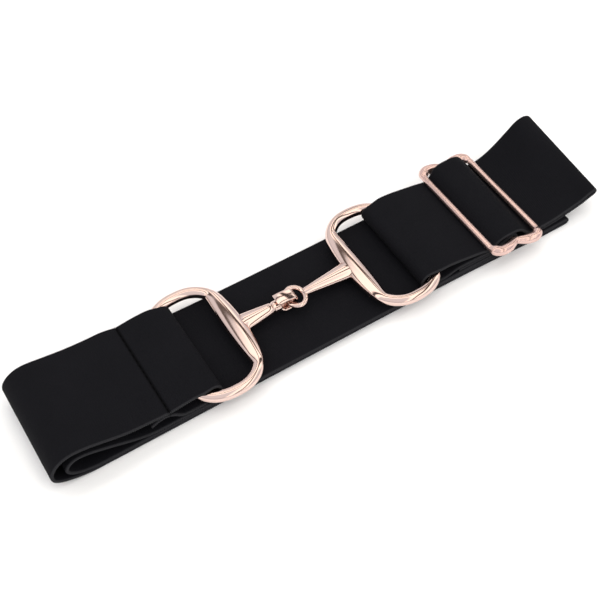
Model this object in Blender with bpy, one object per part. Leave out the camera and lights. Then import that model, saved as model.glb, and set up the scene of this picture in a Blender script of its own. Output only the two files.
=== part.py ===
"""An elastic stretch belt with a snaffle-bit buckle, folded flat.

One long elastic strap lies folded in a stack. It runs from the hook half of the
buckle on the left, round three folds and back to the ring half on the right,
where a wire slide adjuster sets its length. Metres, Z up, X along the belt,
Y across it, and the near edge of the belt at -Y.
"""
import math

import bmesh
import bpy
from mathutils import Matrix, Vector

# The elastic strap.
BELT_WIDTH = 0.0500
BELT_THICKNESS = 0.0015
FIT_GAP = 0.0003

# How far the stack reaches from the middle of the buckle.
LEFT_REACH = 0.1290
RIGHT_REACH = 0.1529
RIGHT_FAR_SETBACK = 0.0010
LOW_FOLD_REACH = 0.1374
LOW_FOLD_RADIUS = 0.0011
STACK_END = 0.1180
ASKEW_START = 0.0767

# The outer fold on the left, which is a little higher at its near edge.
LEFT_FOLD_LENGTH = 0.0280
LEFT_FOLD_HEIGHT_NEAR = 0.0206
LEFT_FOLD_HEIGHT_FAR = 0.0187

# The fold inside it.
INNER_FOLD_INSET = 0.0064
INNER_FOLD_LENGTH = 0.0420
INNER_FOLD_HEIGHT_NEAR = 0.0158
INNER_FOLD_HEIGHT_FAR = 0.0141

# The fold on the right, pressed flat at its near edge and open at its far one.
RIGHT_FOLD_LENGTH = 0.0338
RIGHT_FOLD_LIFT_NEAR = 0.0078
RIGHT_FOLD_LIFT_FAR = 0.0190
NEAR_FOLD_SPREAD = 0.0008

# The sewn flap under the left end of the strap.
LEFT_SEAM = 0.0760
LEFT_FLAP_END = 0.0843
SEAM_SLACK = 0.0002

# The low layers lie a little askew at their right end, the top one in the middle.
LOW_LAYER_SHIFT = -0.0012
MIDDLE_LAYER_SHIFT = -0.0007

# Each half of the buckle: a D-shaped ring with a swollen cheek bar.
BOW_WIRE = 0.0052
BOW_WIDEST = 0.0455
BOW_REACH = 0.0650
BOW_INNER_RUN = 0.0187
BOW_START_ANGLE = math.radians(41.0)
BOW_ROUNDNESS_OUT = 2.6
BOW_ROUNDNESS_IN = 2.3
CHEEK_PLACE = 0.0307
CHEEK_WIDTH = 0.0096
CHEEK_HEIGHT = 0.0064
CHEEK_HALF_LENGTH = 0.0215
CHEEK_END_SETBACK = 0.0010
CHEEK_FULLNESS = 0.85
CHEEK_END_SHARE = 0.88
CHEEK_TIP_SHARE = 0.82
LOOP_INSET = 0.0055

# The two mouthpieces, thick at the cheek and thin at the middle. Each rises a
# little from the middle of the buckle to its cheek bar.
MOUTH_ROOT_WIDTH = 0.0088
MOUTH_ROOT_HEIGHT = 0.0054
HOOK_MOUTH_TIP_WIDTH = 0.0057
HOOK_MOUTH_TIP = 0.0130
RING_MOUTH_TIP_WIDTH = 0.0040
MOUTH_LEAN = math.radians(0.8)

# How a mouthpiece sinks into its cheek bar. Columns: place as a share of the
# cheek bar's half width from its middle, width and height as a share of the
# root's.
MOUTH_ROOT = (
    (0.0, 0.40),
    (0.50, 0.70),
    (0.80, 0.92),
    (1.08, 1.0),
)

# The oval ring, and the broad hook that curls up through it and back over it.
RING_CENTRE = -0.0004
RING_HALF_LENGTH = 0.0042
RING_HALF_WIDTH = 0.0052
RING_WIRE = 0.0025
HOOK_THICKNESS = 0.0015
HOOK_WIDTH = 0.0061
HOOK_HOLLOW = 0.0048
HOOK_PLAY = 0.0006
HOOK_TONGUE = 0.0106
HOOK_TONGUE_RISE = 0.0004
COLLAR_LENGTH = 0.0042
COLLAR_WIDTH = 0.0058
COLLAR_NECK_DEPTH = 0.0003
COLLAR_NECK_LENGTH = 0.0006
COLLAR_WALL = 0.0008
COLLAR_RECESS = 0.0014

# The slide adjuster: two end lobes, two long bars and a middle bar.
SLIDER_PLACE = 0.1022
SLIDER_SPAN = 0.0277
SLIDER_BAR = 0.0031
SLIDER_MIDDLE_BAR = 0.0024
SLIDER_MIDDLE_DROP = 0.0010
SLIDER_LOBE_WIRE = 0.0048
SLIDER_LOBE_CORNER = 0.0049
SLIDER_SHOULDER = 0.0024
SLIDER_END_ROOM = 0.0043
SLIDER_WAIST = 0.0022
SLIDER_WAIST_WIRE = 0.0034
HUMP_SLACK_NEAR = 0.0002
HUMP_SLACK_FAR = 0.0034
HUMP_SPREAD = 0.0005
HUMP_SHIFT = 0.0004

# The sewn flap under the right end of the strap, and how the strap steps over
# its end.
RIGHT_FLAP_CLEAR = 0.0049
FLAP_STEP_LENGTH = 0.0060
FLAP_WRAP_DEGREES = (128, -98)
FLAP_LANDING = 0.0061

# Smoothness of the solids.
TURN_STEP = math.radians(24.0)
RUN_STEP = 0.030
STRIPS_ACROSS = 4
BOW_POINTS = 44
RING_POINTS = 28
CHEEK_STEPS = 16
CORNER_STEPS = 6
ROUND_SIDES = 12

# Outline of a flat band with rounded edges. Columns: place across, place over,
# both as shares of half its width and half its thickness.
FLAT_BAND = (
    (-0.8, 1.0),
    (0.8, 1.0),
    (1.0, 0.4),
    (1.0, -0.4),
    (0.8, -1.0),
    (-0.8, -1.0),
    (-1.0, -0.4),
    (-1.0, 0.4),
)

# The dip where the slider's two lobes meet, and where their wire is thinner.
# Columns: place as a share of the way to the lobe's corner, dip as a share of the
# waist's depth.
LOBE_WAIST = (
    (0.0, 1.0),
    (0.30, 0.62),
    (0.62, 0.16),
)


def level(layer):
    """Height of the middle of a layer of the stack, counted from the bottom."""
    return BELT_THICKNESS * (layer - 0.5) + FIT_GAP * (layer - 1)


PITCH = BELT_THICKNESS + FIT_GAP
BOW_HEIGHT = level(4) + PITCH / 2 + FIT_GAP / 2 + BOW_WIRE / 2
OVER_BOW = BOW_HEIGHT + BOW_WIRE / 2 + FIT_GAP + BELT_THICKNESS / 2
LOOP_RADIUS = (OVER_BOW - level(4)) / 2
BOW_HALF = BELT_WIDTH / 2 + FIT_GAP + BOW_WIRE / 2
RIGHT_FLAP_END = BOW_REACH + BOW_WIRE / 2 + RIGHT_FLAP_CLEAR
FOLD_PLACE = BOW_WIDEST + LOOP_INSET + BELT_THICKNESS / 2 + LOOP_RADIUS
BAR_CLEAR = SLIDER_BAR / 2 + FIT_GAP + BELT_THICKNESS / 2
MIDDLE_CLEAR = SLIDER_MIDDLE_BAR / 2 + FIT_GAP + BELT_THICKNESS / 2
LEFT_BAR = (SLIDER_PLACE - SLIDER_SPAN / 2, level(6) + BAR_CLEAR)
RIGHT_BAR = (SLIDER_PLACE + SLIDER_SPAN / 2, level(4) + BAR_CLEAR)
FRAME_MIDDLE = (LEFT_BAR[1] + RIGHT_BAR[1]) / 2
MIDDLE_BAR = (SLIDER_PLACE, FRAME_MIDDLE - SLIDER_MIDDLE_DROP)
HUMP_BASE = MIDDLE_BAR[1] + MIDDLE_CLEAR + PITCH
CENTRE_X = (RIGHT_REACH - LEFT_REACH) / 2


def bow_outline(x):
    """Half height of the bow's middle line at a distance x from the buckle's middle."""
    if x > BOW_WIDEST:
        share = (x - BOW_WIDEST) / (BOW_REACH - BOW_WIDEST)
        power = BOW_ROUNDNESS_OUT
    else:
        share = (BOW_WIDEST - x) / BOW_INNER_RUN
        power = BOW_ROUNDNESS_IN
    return BOW_HALF * max(0.0, 1.0 - share ** power) ** (1.0 / power)


# Where it turns round the bow the strap is squeezed to fit between its arms.
FOLD_INNER = FOLD_PLACE - LOOP_RADIUS + BELT_THICKNESS / 2
FOLD_HALF = min(BELT_WIDTH / 2, bow_outline(FOLD_INNER) - BOW_WIRE / 2 - FIT_GAP)


class Row:
    """One station of the strap's middle line, with its near and its far edge."""

    def __init__(self, near, far=None, half=BELT_WIDTH / 2, shift=0.0):
        self.values = (*near, *(far or near), half, shift)


def turn(centre, radius, start, end, steps, half=BELT_WIDTH / 2, shift=0.0):
    """Stations on an arc in the X-Z plane, between two angles in degrees."""
    rows = []
    for i in range(steps + 1):
        angle = math.radians(start + (end - start) * i / steps)
        x = centre[0] + radius * math.cos(angle)
        z = centre[1] + radius * math.sin(angle)
        rows.append(Row((x, z), half=half, shift=shift))
    return rows


# The strap's left end: the flap rises to its seam, dips under the bow and
# comes back over it. Columns: place as a share of the way from the bow's reach
# to the flap's end, height as a share of the rise to the seam.
LEFT_FLAP = (
    (1.00, 0.63),
    (0.80, 0.95),
    (0.54, 1.00),
    (0.34, 0.60),
    (0.16, 0.09),
)

# Top of the left strap. Columns: place as a share of the way from the loop to
# the seam, rise above the loop's top as a share of the strap's thickness.
LEFT_TOP = (
    (0.22, 0.45),
    (0.42, 0.60),
    (0.66, 0.35),
    (0.84, 0.00),
    (1.00, -0.20),
)

# Outer fold on the left. Columns: place as a share of the fold's length from
# its tip, height at the near edge as a share of the fold's height there, the
# same for the far edge, going over the top and down.
LEFT_FOLD = (
    (1.62, 0.665, 0.806),
    (1.38, 0.690, 0.812),
    (1.16, 0.735, 0.830),
    (0.95, 0.812, 0.862),
    (0.74, 0.908, 0.912),
    (0.56, 0.970, 0.960),
    (0.38, 1.000, 1.000),
    (0.24, 0.962, 0.965),
    (0.11, 0.840, 0.840),
    (0.023, 0.645, 0.645),
    (0.0, 0.470, 0.470),
    (0.023, 0.330, 0.330),
    (0.095, 0.220, 0.220),
    (0.20, 0.138, 0.138),
    (0.345, 0.066, 0.066),
    (0.49, 0.018, 0.018),
    (0.63, 0.0, 0.0),
    (0.90, 0.0, 0.0),
)

# The fold inside it. Columns: place as a share of its length from its tip,
# height as a share of its height over the layer named last.
INNER_FOLD = (
    (0.47, 0.0, 2),
    (0.33, 0.0, 2),
    (0.225, 0.040, 2),
    (0.115, 0.145, 2),
    (0.033, 0.335, 2),
    (0.0, 0.545, 2),
    (0.015, 0.760, 2),
    (0.065, 0.935, 2),
    (0.13, 1.0, 2),
    (0.22, 0.970, 3),
    (0.315, 0.850, 3),
    (0.42, 0.690, 3),
    (0.53, 0.515, 3),
    (0.66, 0.290, 3),
    (0.79, 0.110, 3),
    (0.90, 0.022, 3),
    (1.02, 0.0, 3),
    (1.25, 0.0, 3),
)

# The fold on the right. Columns: place at the near edge as a share of the
# fold's length from its tip, rise there as a share of the near lift, place at
# the far edge and rise there as a share of the far lift.
RIGHT_FOLD_UNDER = (
    (1.00, 0.0, 1.00, 0.0),
    (0.87, 0.010, 0.88, 0.006),
    (0.73, 0.050, 0.74, 0.030),
    (0.48, 0.255, 0.50, 0.150),
    (0.235, 0.510, 0.29, 0.330),
    (0.095, 0.750, 0.12, 0.495),
)
RIGHT_FOLD_TIP = (
    (0.035, 0.605),
    (0.0, 0.750),
    (0.045, 0.905),
)
RIGHT_FOLD_OVER = (
    (0.145, 0.990),
    (0.265, 0.955),
    (0.395, 0.760),
    (0.565, 0.485),
    (0.735, 0.265),
    (0.90, 0.135),
)

# The strap inside the slider, from its right bar to its left one. Columns: place
# as a share of the way between the bars, height of the near edge as a share of
# the way up from the lower bar on the right of the top, and from the higher bar
# on its left, then the same for the far edge.
HUMP_RIGHT = (
    (0.0, 0.0, 0.0),
    (0.05, 0.012, 0.030),
    (0.10, 0.06, 0.15),
    (0.20, 0.34, 0.54),
    (0.31, 0.76, 0.88),
    (0.42, 0.96, 0.99),
    (0.55, 1.00, 1.00),
)
HUMP_LEFT = (
    (0.69, 0.94, 0.99),
    (0.81, 0.64, 0.82),
    (0.91, 0.18, 0.18),
    (0.955, 0.030, 0.035),
    (1.00, 0.0, 0.0),
)

# Top of the right strap, from the slider's left bar down to the loop. Columns:
# place as a share of the way from the loop, rise as a share of the way up from
# the left bar's underside to the loop's top.
RIGHT_TOP = (
    (0.91, 0.15),
    (0.80, 0.38),
    (0.66, 0.62),
    (0.50, 0.89),
    (0.34, 1.12),
    (0.16, 1.17),
)


# The hook's lower limb, from the collar to the ring's wire. Columns: place as a
# share of the way to the wire, height as a share of the height under the wire.
HOOK_LIMB = (
    (0.0, 0.0),
    (0.40, 0.35),
    (1.0, 0.92),
)


def left_end():
    """The flap, the loop round the left bow and the top of the left strap."""
    rows = []
    seam_height = OVER_BOW - PITCH
    reach = BOW_REACH + BOW_WIRE / 2
    rise = seam_height - level(4) - SEAM_SLACK
    for along, share in LEFT_FLAP:
        x = reach + (LEFT_FLAP_END - reach) * along
        rows.append(Row((-x, level(4) + rise * share)))
    rows.append(Row((-BOW_REACH, level(4))))
    rows.append(Row((-(FOLD_PLACE + BOW_REACH) / 2, level(4))))
    rows += turn((-FOLD_PLACE, BOW_HEIGHT), LOOP_RADIUS, -90, 90, 8, half=FOLD_HALF)
    for along, share in LEFT_TOP:
        x = FOLD_PLACE + (LEFT_SEAM - FOLD_PLACE) * along
        rows.append(Row((-x, OVER_BOW + share * BELT_THICKNESS)))
    return rows


def left_fold():
    """Round the outer fold and down to the bottom layer."""
    rows = []
    tip = LEFT_REACH - BELT_THICKNESS / 2
    near = LEFT_FOLD_HEIGHT_NEAR - BELT_THICKNESS
    far = LEFT_FOLD_HEIGHT_FAR - BELT_THICKNESS
    for along, near_share, far_share in LEFT_FOLD:
        x = -(tip - LEFT_FOLD_LENGTH * along)
        rows.append(Row((x, level(1) + near * near_share), (x, level(1) + far * far_share)))
    return rows


def low_fold():
    """The two bottom layers and the small fold that joins them on the right."""
    radius = LOW_FOLD_RADIUS
    tip = LOW_FOLD_REACH - BELT_THICKNESS / 2 - radius
    rows = [Row((ASKEW_START, level(1)))]
    rows.append(Row((STACK_END, level(1)), shift=LOW_LAYER_SHIFT))
    rows += turn((tip, level(1) + radius), radius, -90, 90, 6, shift=LOW_LAYER_SHIFT)
    rows.append(Row((STACK_END, level(2)), shift=LOW_LAYER_SHIFT))
    rows.append(Row((ASKEW_START, level(2))))
    return rows


def inner_fold():
    """Round the inner fold and up to the third layer."""
    rows = []
    tip = LEFT_REACH - BELT_THICKNESS / 2 - INNER_FOLD_INSET
    near = INNER_FOLD_HEIGHT_NEAR - BELT_THICKNESS / 2
    far = INNER_FOLD_HEIGHT_FAR - BELT_THICKNESS / 2
    for along, share, layer in INNER_FOLD:
        x = -(tip - INNER_FOLD_LENGTH * along)
        base = level(layer)
        near_z = base + (near - base) * share
        far_z = base + (far - base) * share
        rows.append(Row((x, near_z), (x, far_z)))
    for place in (-CHEEK_PLACE, CHEEK_PLACE):
        rows.append(Row((place, level(3)), shift=MIDDLE_LAYER_SHIFT))
    return rows


def beside(points, distance, spread):
    """Points to the left of a run in the X-Z plane, further off towards its end."""
    moved = []
    for i, point in enumerate(points):
        before = points[max(i - 1, 0)]
        after = points[min(i + 1, len(points) - 1)]
        length = math.dist(before, after)
        step = ((after[0] - before[0]) / length, (after[1] - before[1]) / length)
        off = distance + spread * (i / (len(points) - 1)) ** 3
        moved.append((point[0] - step[1] * off, point[1] + step[0] * off))
    return moved


def right_fold():
    """Round the right fold: tight at the near edge, an open loop at the far one."""
    near_tip = RIGHT_REACH - BELT_THICKNESS / 2
    far_tip = near_tip - RIGHT_FAR_SETBACK
    near_under = []
    far_under = []
    for near_along, near_rise, far_along, far_rise in RIGHT_FOLD_UNDER:
        near_z = level(3) + RIGHT_FOLD_LIFT_NEAR * near_rise
        near_under.append((near_tip - RIGHT_FOLD_LENGTH * near_along, near_z))
        far_z = level(3) + RIGHT_FOLD_LIFT_FAR * far_rise
        far_under.append((far_tip - RIGHT_FOLD_LENGTH * far_along, far_z))
    near_over = beside(near_under, PITCH + FIT_GAP / 5, NEAR_FOLD_SPREAD)
    near_tips = round_tip(near_under[-1], near_over[-1], near_tip)
    near_run = near_tips + near_over[::-1]
    far_run = []
    for far_along, far_rise in RIGHT_FOLD_TIP + RIGHT_FOLD_OVER:
        far_z = level(3) + RIGHT_FOLD_LIFT_FAR * far_rise
        far_run.append((far_tip - RIGHT_FOLD_LENGTH * far_along, far_z))
    rows = [Row(near, far) for near, far in zip(near_under, far_under)]
    rows += [Row(near, far) for near, far in zip(near_run, far_run)]
    return rows


def round_tip(low, high, tip):
    """Three points round the end of a fold, from its lower run to its upper one."""
    radius = math.dist(low, high) / 2
    middle = ((low[0] + high[0]) / 2, (low[1] + high[1]) / 2)
    lean = math.atan2(high[1] - low[1], high[0] - low[0])
    run = tip - radius - middle[0]
    centre = (middle[0] + run, middle[1] + run * math.tan(lean - math.pi / 2))
    points = []
    for i in range(3):
        angle = lean + math.pi + (i + 0.5) * math.pi / 3
        x = centre[0] + radius * math.cos(angle)
        z = centre[1] + radius * math.sin(angle)
        points.append((x, z))
    return points


def through_slider():
    """Under the right bar, over the middle one and under the left one."""
    low = RIGHT_BAR[1] - BAR_CLEAR
    high = LEFT_BAR[1] - BAR_CLEAR
    rows = []
    for base, table in ((low, HUMP_RIGHT), (high, HUMP_LEFT)):
        for along, near_share, far_share in table:
            x = RIGHT_BAR[0] - SLIDER_SPAN * along
            near = base + (HUMP_BASE + HUMP_SLACK_NEAR - base) * near_share
            far = base + (HUMP_BASE + HUMP_SLACK_FAR - base) * far_share
            loose = math.sin(math.pi * along)
            half = BELT_WIDTH / 2 + HUMP_SPREAD * loose
            rows.append(Row((x, near), (x, far), half, HUMP_SHIFT * loose))
    return rows


def right_end():
    """From the slider over the right bow, round it, and back to the middle bar."""
    left_x, left_z = LEFT_BAR
    high = left_z - BAR_CLEAR
    rows = []
    for along, share in RIGHT_TOP:
        x = FOLD_PLACE + (left_x - FOLD_PLACE) * along
        rows.append(Row((x, high + (OVER_BOW - high) * share)))
    rows += turn((FOLD_PLACE, BOW_HEIGHT), LOOP_RADIUS, 90, 270, 8, half=FOLD_HALF)
    rows.append(Row(((FOLD_PLACE + BOW_REACH) / 2, level(4))))
    step_end = RIGHT_FLAP_END - BELT_THICKNESS
    step_start = step_end - FLAP_STEP_LENGTH
    rows.append(Row((step_start, level(4))))
    rows.append(Row(((step_start + step_end) / 2, (level(4) + level(5)) / 2)))
    rows.append(Row((step_end, level(5))))
    rows.append(Row((left_x - SLIDER_BAR, level(5))))
    rise_start = left_x + SLIDER_BAR
    wrap_start, wrap_end = FLAP_WRAP_DEGREES
    top_x = MIDDLE_BAR[0] + MIDDLE_CLEAR * math.cos(math.radians(wrap_start))
    top_z = MIDDLE_BAR[1] + MIDDLE_CLEAR * math.sin(math.radians(wrap_start))
    rows.append(Row((rise_start, level(5))))
    rows.append(Row(((rise_start + top_x) / 2, (level(5) + top_z) / 2)))
    rows += turn(MIDDLE_BAR, MIDDLE_CLEAR, wrap_start, wrap_end, 8)
    rows.append(Row((MIDDLE_BAR[0] - FLAP_LANDING, level(4))))
    rows.append(Row((left_x, level(4))))
    rows.append(Row((RIGHT_FLAP_END, level(4))))
    return rows


def strap_rows():
    rows = left_end() + left_fold() + low_fold() + inner_fold()
    rows += right_fold() + through_slider() + right_end()
    return [row.values for row in rows]


def smooth_points(rows):
    """A centripetal curve through the rows, with more steps where it bends."""
    count = len(rows)
    result = []
    for i in range(count - 1):
        p0 = rows[max(i - 1, 0)]
        p1 = rows[i]
        p2 = rows[i + 1]
        p3 = rows[min(i + 2, count - 1)]
        if i == 0:
            p0 = tuple(2 * a - b for a, b in zip(p1, p2))
        if i == count - 2:
            p3 = tuple(2 * b - a for a, b in zip(p1, p2))
        before = math.atan2(p2[1] - p0[1], p2[0] - p0[0])
        after = math.atan2(p3[1] - p1[1], p3[0] - p1[0])
        bend = abs((after - before + math.pi) % (2 * math.pi) - math.pi)
        far_before = math.atan2(p2[3] - p0[3], p2[2] - p0[2])
        far_after = math.atan2(p3[3] - p1[3], p3[2] - p1[2])
        far_bend = abs((far_after - far_before + math.pi) % (2 * math.pi) - math.pi)
        length = math.dist(p1, p2)
        steps = max(1, math.ceil(max(bend, far_bend) / TURN_STEP), math.ceil(length / RUN_STEP))
        knots = [0.0]
        for a, b in ((p0, p1), (p1, p2), (p2, p3)):
            knots.append(knots[-1] + max(math.dist(a, b), 1e-9) ** 0.5)
        for step in range(steps):
            t = knots[1] + (knots[2] - knots[1]) * step / steps
            result.append(curve_value((p0, p1, p2, p3), knots, t))
    result.append(rows[-1])
    return result


def curve_value(points, knots, t):
    """One value of the centripetal curve on four points."""
    layer = [Vector(point) for point in points]
    for order in (1, 2, 3):
        blended = []
        for i in range(len(layer) - 1):
            low = knots[i]
            high = knots[i + order]
            if order == 3:
                low = knots[1]
                high = knots[2]
            share = (t - low) / (high - low)
            blended.append(layer[i] * (1 - share) + layer[i + 1] * share)
        layer = blended
    return tuple(layer[0])


def strap_sections(rows):
    """Points over and under the strap's middle, strip by strip across its width."""
    sections = []
    strips = []
    for strip in range(STRIPS_ACROSS + 1):
        share = strip / STRIPS_ACROSS
        strips.append([
            (r[0] * (1 - share) + r[2] * share, r[1] * (1 - share) + r[3] * share)
            for r in rows
        ])
    for i, row in enumerate(rows):
        half, shift = row[4], row[5]
        over = []
        under = []
        for strip, points in enumerate(strips):
            before = points[max(i - 1, 0)]
            after = points[min(i + 1, len(points) - 1)]
            length = math.dist(before, after)
            rise = (after[1] - before[1]) / length
            run = (after[0] - before[0]) / length
            x, z = points[i]
            y = shift - half + 2 * half * strip / STRIPS_ACROSS
            offset = BELT_THICKNESS / 2
            over.append(Vector((x - rise * offset, y, z + run * offset)))
            under.append(Vector((x + rise * offset, y, z - run * offset)))
        sections.append(over + under[::-1])
    return sections


def loft(name, sections):
    """One closed solid through a run of sections with the same number of points."""
    mesh = bpy.data.meshes.new(name)
    form = bmesh.new()
    rings = [[form.verts.new(point) for point in section] for section in sections]
    count = len(sections[0])
    for first, second in zip(rings, rings[1:]):
        for i in range(count):
            j = (i + 1) % count
            form.faces.new((first[i], first[j], second[j], second[i]))
    form.faces.new(rings[0][::-1])
    form.faces.new(rings[-1])
    bmesh.ops.recalc_face_normals(form, faces=form.faces)
    form.to_mesh(mesh)
    form.free()
    return bpy.data.objects.new(name, mesh)


def make_material(name, colour, metallic, roughness):
    material = bpy.data.materials.new(name)
    material.use_nodes = True
    shader = material.node_tree.nodes["Principled BSDF"]
    shader.inputs["Base Color"].default_value = (*colour, 1.0)
    shader.inputs["Metallic"].default_value = metallic
    shader.inputs["Roughness"].default_value = roughness
    return material


def finish(thing, material, collection, carrier, smooth_angle):
    """Puts a finished piece in the collection with its material and its parent."""
    for owner in list(thing.users_collection):
        owner.objects.unlink(thing)
    collection.objects.link(thing)
    thing.parent = carrier
    thing.data.materials.clear()
    thing.data.materials.append(material)
    thing.data.shade_smooth()
    thing.data.set_sharp_from_angle(angle=smooth_angle)


def bar(name, points, radii, closed=False):
    """A round bar along a run of points, its radius given point by point."""
    curve = bpy.data.curves.new(name, "CURVE")
    curve.dimensions = "3D"
    curve.bevel_depth = 1.0
    curve.bevel_resolution = ROUND_SIDES // 2 - 2
    curve.use_fill_caps = not closed
    spline = curve.splines.new("POLY")
    spline.points.add(len(points) - 1)
    spline.use_cyclic_u = closed
    for slot, point, radius in zip(spline.points, points, radii):
        slot.co = (*point, 1.0)
        slot.radius = radius
    return mesh_of(bpy.data.objects.new(name, curve))


def mesh_of(thing):
    """A plain mesh object in place of a curve."""
    bpy.context.scene.collection.objects.link(thing)
    bpy.context.view_layer.update()
    graph = bpy.context.evaluated_depsgraph_get()
    mesh = bpy.data.meshes.new_from_object(thing.evaluated_get(graph))
    form = bmesh.new()
    form.from_mesh(mesh)
    bmesh.ops.remove_doubles(form, verts=form.verts, dist=0.00001)
    bmesh.ops.recalc_face_normals(form, faces=form.faces)
    form.to_mesh(mesh)
    form.free()
    solid = bpy.data.objects.new(thing.name + "_solid", mesh)
    solid.matrix_world = thing.matrix_world
    bpy.data.objects.remove(thing)
    bpy.context.scene.collection.objects.link(solid)
    return solid


def fuse(name, pieces):
    """Joins overlapping solids into one, as a casting is."""
    base = pieces[0]
    for piece in pieces[1:]:
        union = base.modifiers.new("union", "BOOLEAN")
        union.operation = "UNION"
        union.solver = "EXACT"
        union.object = piece
    bpy.context.view_layer.update()
    graph = bpy.context.evaluated_depsgraph_get()
    mesh = bpy.data.meshes.new_from_object(base.evaluated_get(graph))
    for piece in pieces:
        bpy.data.objects.remove(piece)
    mesh.name = name
    return bpy.data.objects.new(name, mesh)


def bow_points(side):
    """The bow's middle line, from inside one end of the cheek bar to the other."""
    quarter = BOW_POINTS // 4
    outer = BOW_REACH - BOW_WIDEST
    half_run = []
    for i in range(quarter + 1):
        angle = BOW_START_ANGLE + (math.pi / 2 - BOW_START_ANGLE) * i / quarter
        x = BOW_WIDEST - BOW_INNER_RUN * math.cos(angle) ** (2 / BOW_ROUNDNESS_IN)
        y = BOW_HALF * math.sin(angle) ** (2 / BOW_ROUNDNESS_IN)
        half_run.append((x, y))
    for i in range(1, quarter + 1):
        angle = math.pi / 2 * (1 - i / quarter)
        x = BOW_WIDEST + outer * math.cos(angle) ** (2 / BOW_ROUNDNESS_OUT)
        y = BOW_HALF * math.sin(angle) ** (2 / BOW_ROUNDNESS_OUT)
        half_run.append((x, y))
    whole = half_run + [(x, -y) for x, y in half_run[-2::-1]]
    return [(side * x, y, BOW_HEIGHT) for x, y in whole]


def make_bow(side):
    points = bow_points(side)
    return bar("bow", points, [BOW_WIRE / 2] * len(points))


def make_cheek(side):
    """The swollen bar between the bow's ends, a little flatter than it is wide."""
    sections = []
    end = BOW_WIRE / 2 * CHEEK_END_SHARE
    for i in range(CHEEK_STEPS + 1):
        share = math.sin(math.pi * (i / CHEEK_STEPS - 0.5))
        swell = max(0.0, 1.0 - share * share) ** CHEEK_FULLNESS
        half_width = end + (CHEEK_WIDTH / 2 - end) * swell
        half_height = end + (CHEEK_HEIGHT / 2 - end) * swell
        if i in (0, CHEEK_STEPS):
            half_width *= CHEEK_TIP_SHARE
            half_height *= CHEEK_TIP_SHARE
        middle = CHEEK_PLACE + CHEEK_END_SETBACK * share * share
        ring = []
        for k in range(ROUND_SIDES):
            angle = 2 * math.pi * k / ROUND_SIDES
            x = side * (middle + half_width * math.cos(angle))
            z = BOW_HEIGHT + half_height * math.sin(angle)
            ring.append(Vector((x, CHEEK_HALF_LENGTH * share, z)))
        sections.append(ring)
    piece = loft("cheek", sections)
    bpy.context.scene.collection.objects.link(piece)
    return piece


def mouth_bar(rows, lean):
    """An oval bar along the buckle: rows of place, half width and half height."""
    tilt = Matrix.Rotation(lean, 3, "Y")
    sides = ROUND_SIDES * 2
    sections = []
    for x, half_width, half_height in rows:
        ring = []
        for k in range(sides):
            angle = 2 * math.pi * k / sides
            point = Vector((x, half_width * math.cos(angle), half_height * math.sin(angle)))
            ring.append(tilt @ point + Vector((0.0, 0.0, BOW_HEIGHT)))
        sections.append(ring)
    piece = loft("mouth", sections)
    bpy.context.scene.collection.objects.link(piece)
    return piece


def round_rows(profile):
    """Rows of a round stretch of a mouthpiece, from its places and radii."""
    return [(x, radius, radius) for x, radius in profile]


def hook_path():
    """The hook's middle line: out of the collar, under the ring's wire, up and back."""
    low = -(RING_WIRE / 2 + FIT_GAP + HOOK_THICKNESS / 2)
    half_height = (HOOK_HOLLOW + HOOK_THICKNESS) / 2
    wire_left = RING_CENTRE - RING_HALF_LENGTH
    edge = math.sqrt(1 - (HOOK_WIDTH / 2 / RING_HALF_WIDTH) ** 2)
    wire_right = RING_CENTRE - RING_HALF_LENGTH * edge
    centre_x = (wire_left + wire_right) / 2 + RING_WIRE / 2
    half_width = wire_right + RING_WIRE / 2 + HOOK_PLAY + HOOK_THICKNESS / 2 - centre_x
    middle = low + half_height
    start = -HOOK_MOUTH_TIP + COLLAR_LENGTH - COLLAR_RECESS - HOOK_THICKNESS / 2
    reach = wire_left - RING_WIRE - start
    path = [(start + reach * along, low * drop) for along, drop in HOOK_LIMB]
    for degrees in range(-90, 91, 20):
        angle = math.radians(degrees)
        x = centre_x + half_width * math.cos(angle)
        path.append((x, middle + half_height * math.sin(angle)))
    top = middle + half_height
    path.append(((centre_x - HOOK_TONGUE) / 2, top + HOOK_TONGUE_RISE))
    path.append((-HOOK_TONGUE, top + HOOK_TONGUE_RISE))
    return [(x, BOW_HEIGHT + z) for x, z in path]


def make_hook():
    """A broad flat band, rounded at its edges, along the hook's middle line."""
    path = hook_path()
    sections = []
    for i, (x, z) in enumerate(path):
        before = path[max(i - 1, 0)]
        after = path[min(i + 1, len(path) - 1)]
        length = math.dist(before, after)
        rise = (after[1] - before[1]) / length
        run = (after[0] - before[0]) / length
        width = HOOK_WIDTH / 2
        if i < 2:
            width = COLLAR_WIDTH / 2 - COLLAR_WALL
        ring = []
        for across, over in FLAT_BAND:
            offset = over * HOOK_THICKNESS / 2
            ring.append(Vector((x - rise * offset, across * width, z + run * offset)))
        sections.append(ring)
    piece = loft("hook", sections)
    bpy.context.scene.collection.objects.link(piece)
    return piece


def make_ring():
    points = []
    for i in range(RING_POINTS):
        angle = 2 * math.pi * i / RING_POINTS
        x = RING_CENTRE + RING_HALF_LENGTH * math.cos(angle)
        points.append((x, RING_HALF_WIDTH * math.sin(angle), BOW_HEIGHT))
    return bar("ring", points, [RING_WIRE / 2] * RING_POINTS, closed=True)


def mouth_root():
    """The thick end of a mouthpiece, from inside its cheek bar outwards."""
    rows = []
    for along, share in MOUTH_ROOT:
        place = CHEEK_PLACE - CHEEK_WIDTH / 2 * along
        rows.append((place, MOUTH_ROOT_WIDTH / 2 * share, MOUTH_ROOT_HEIGHT / 2 * share))
    return rows


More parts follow.
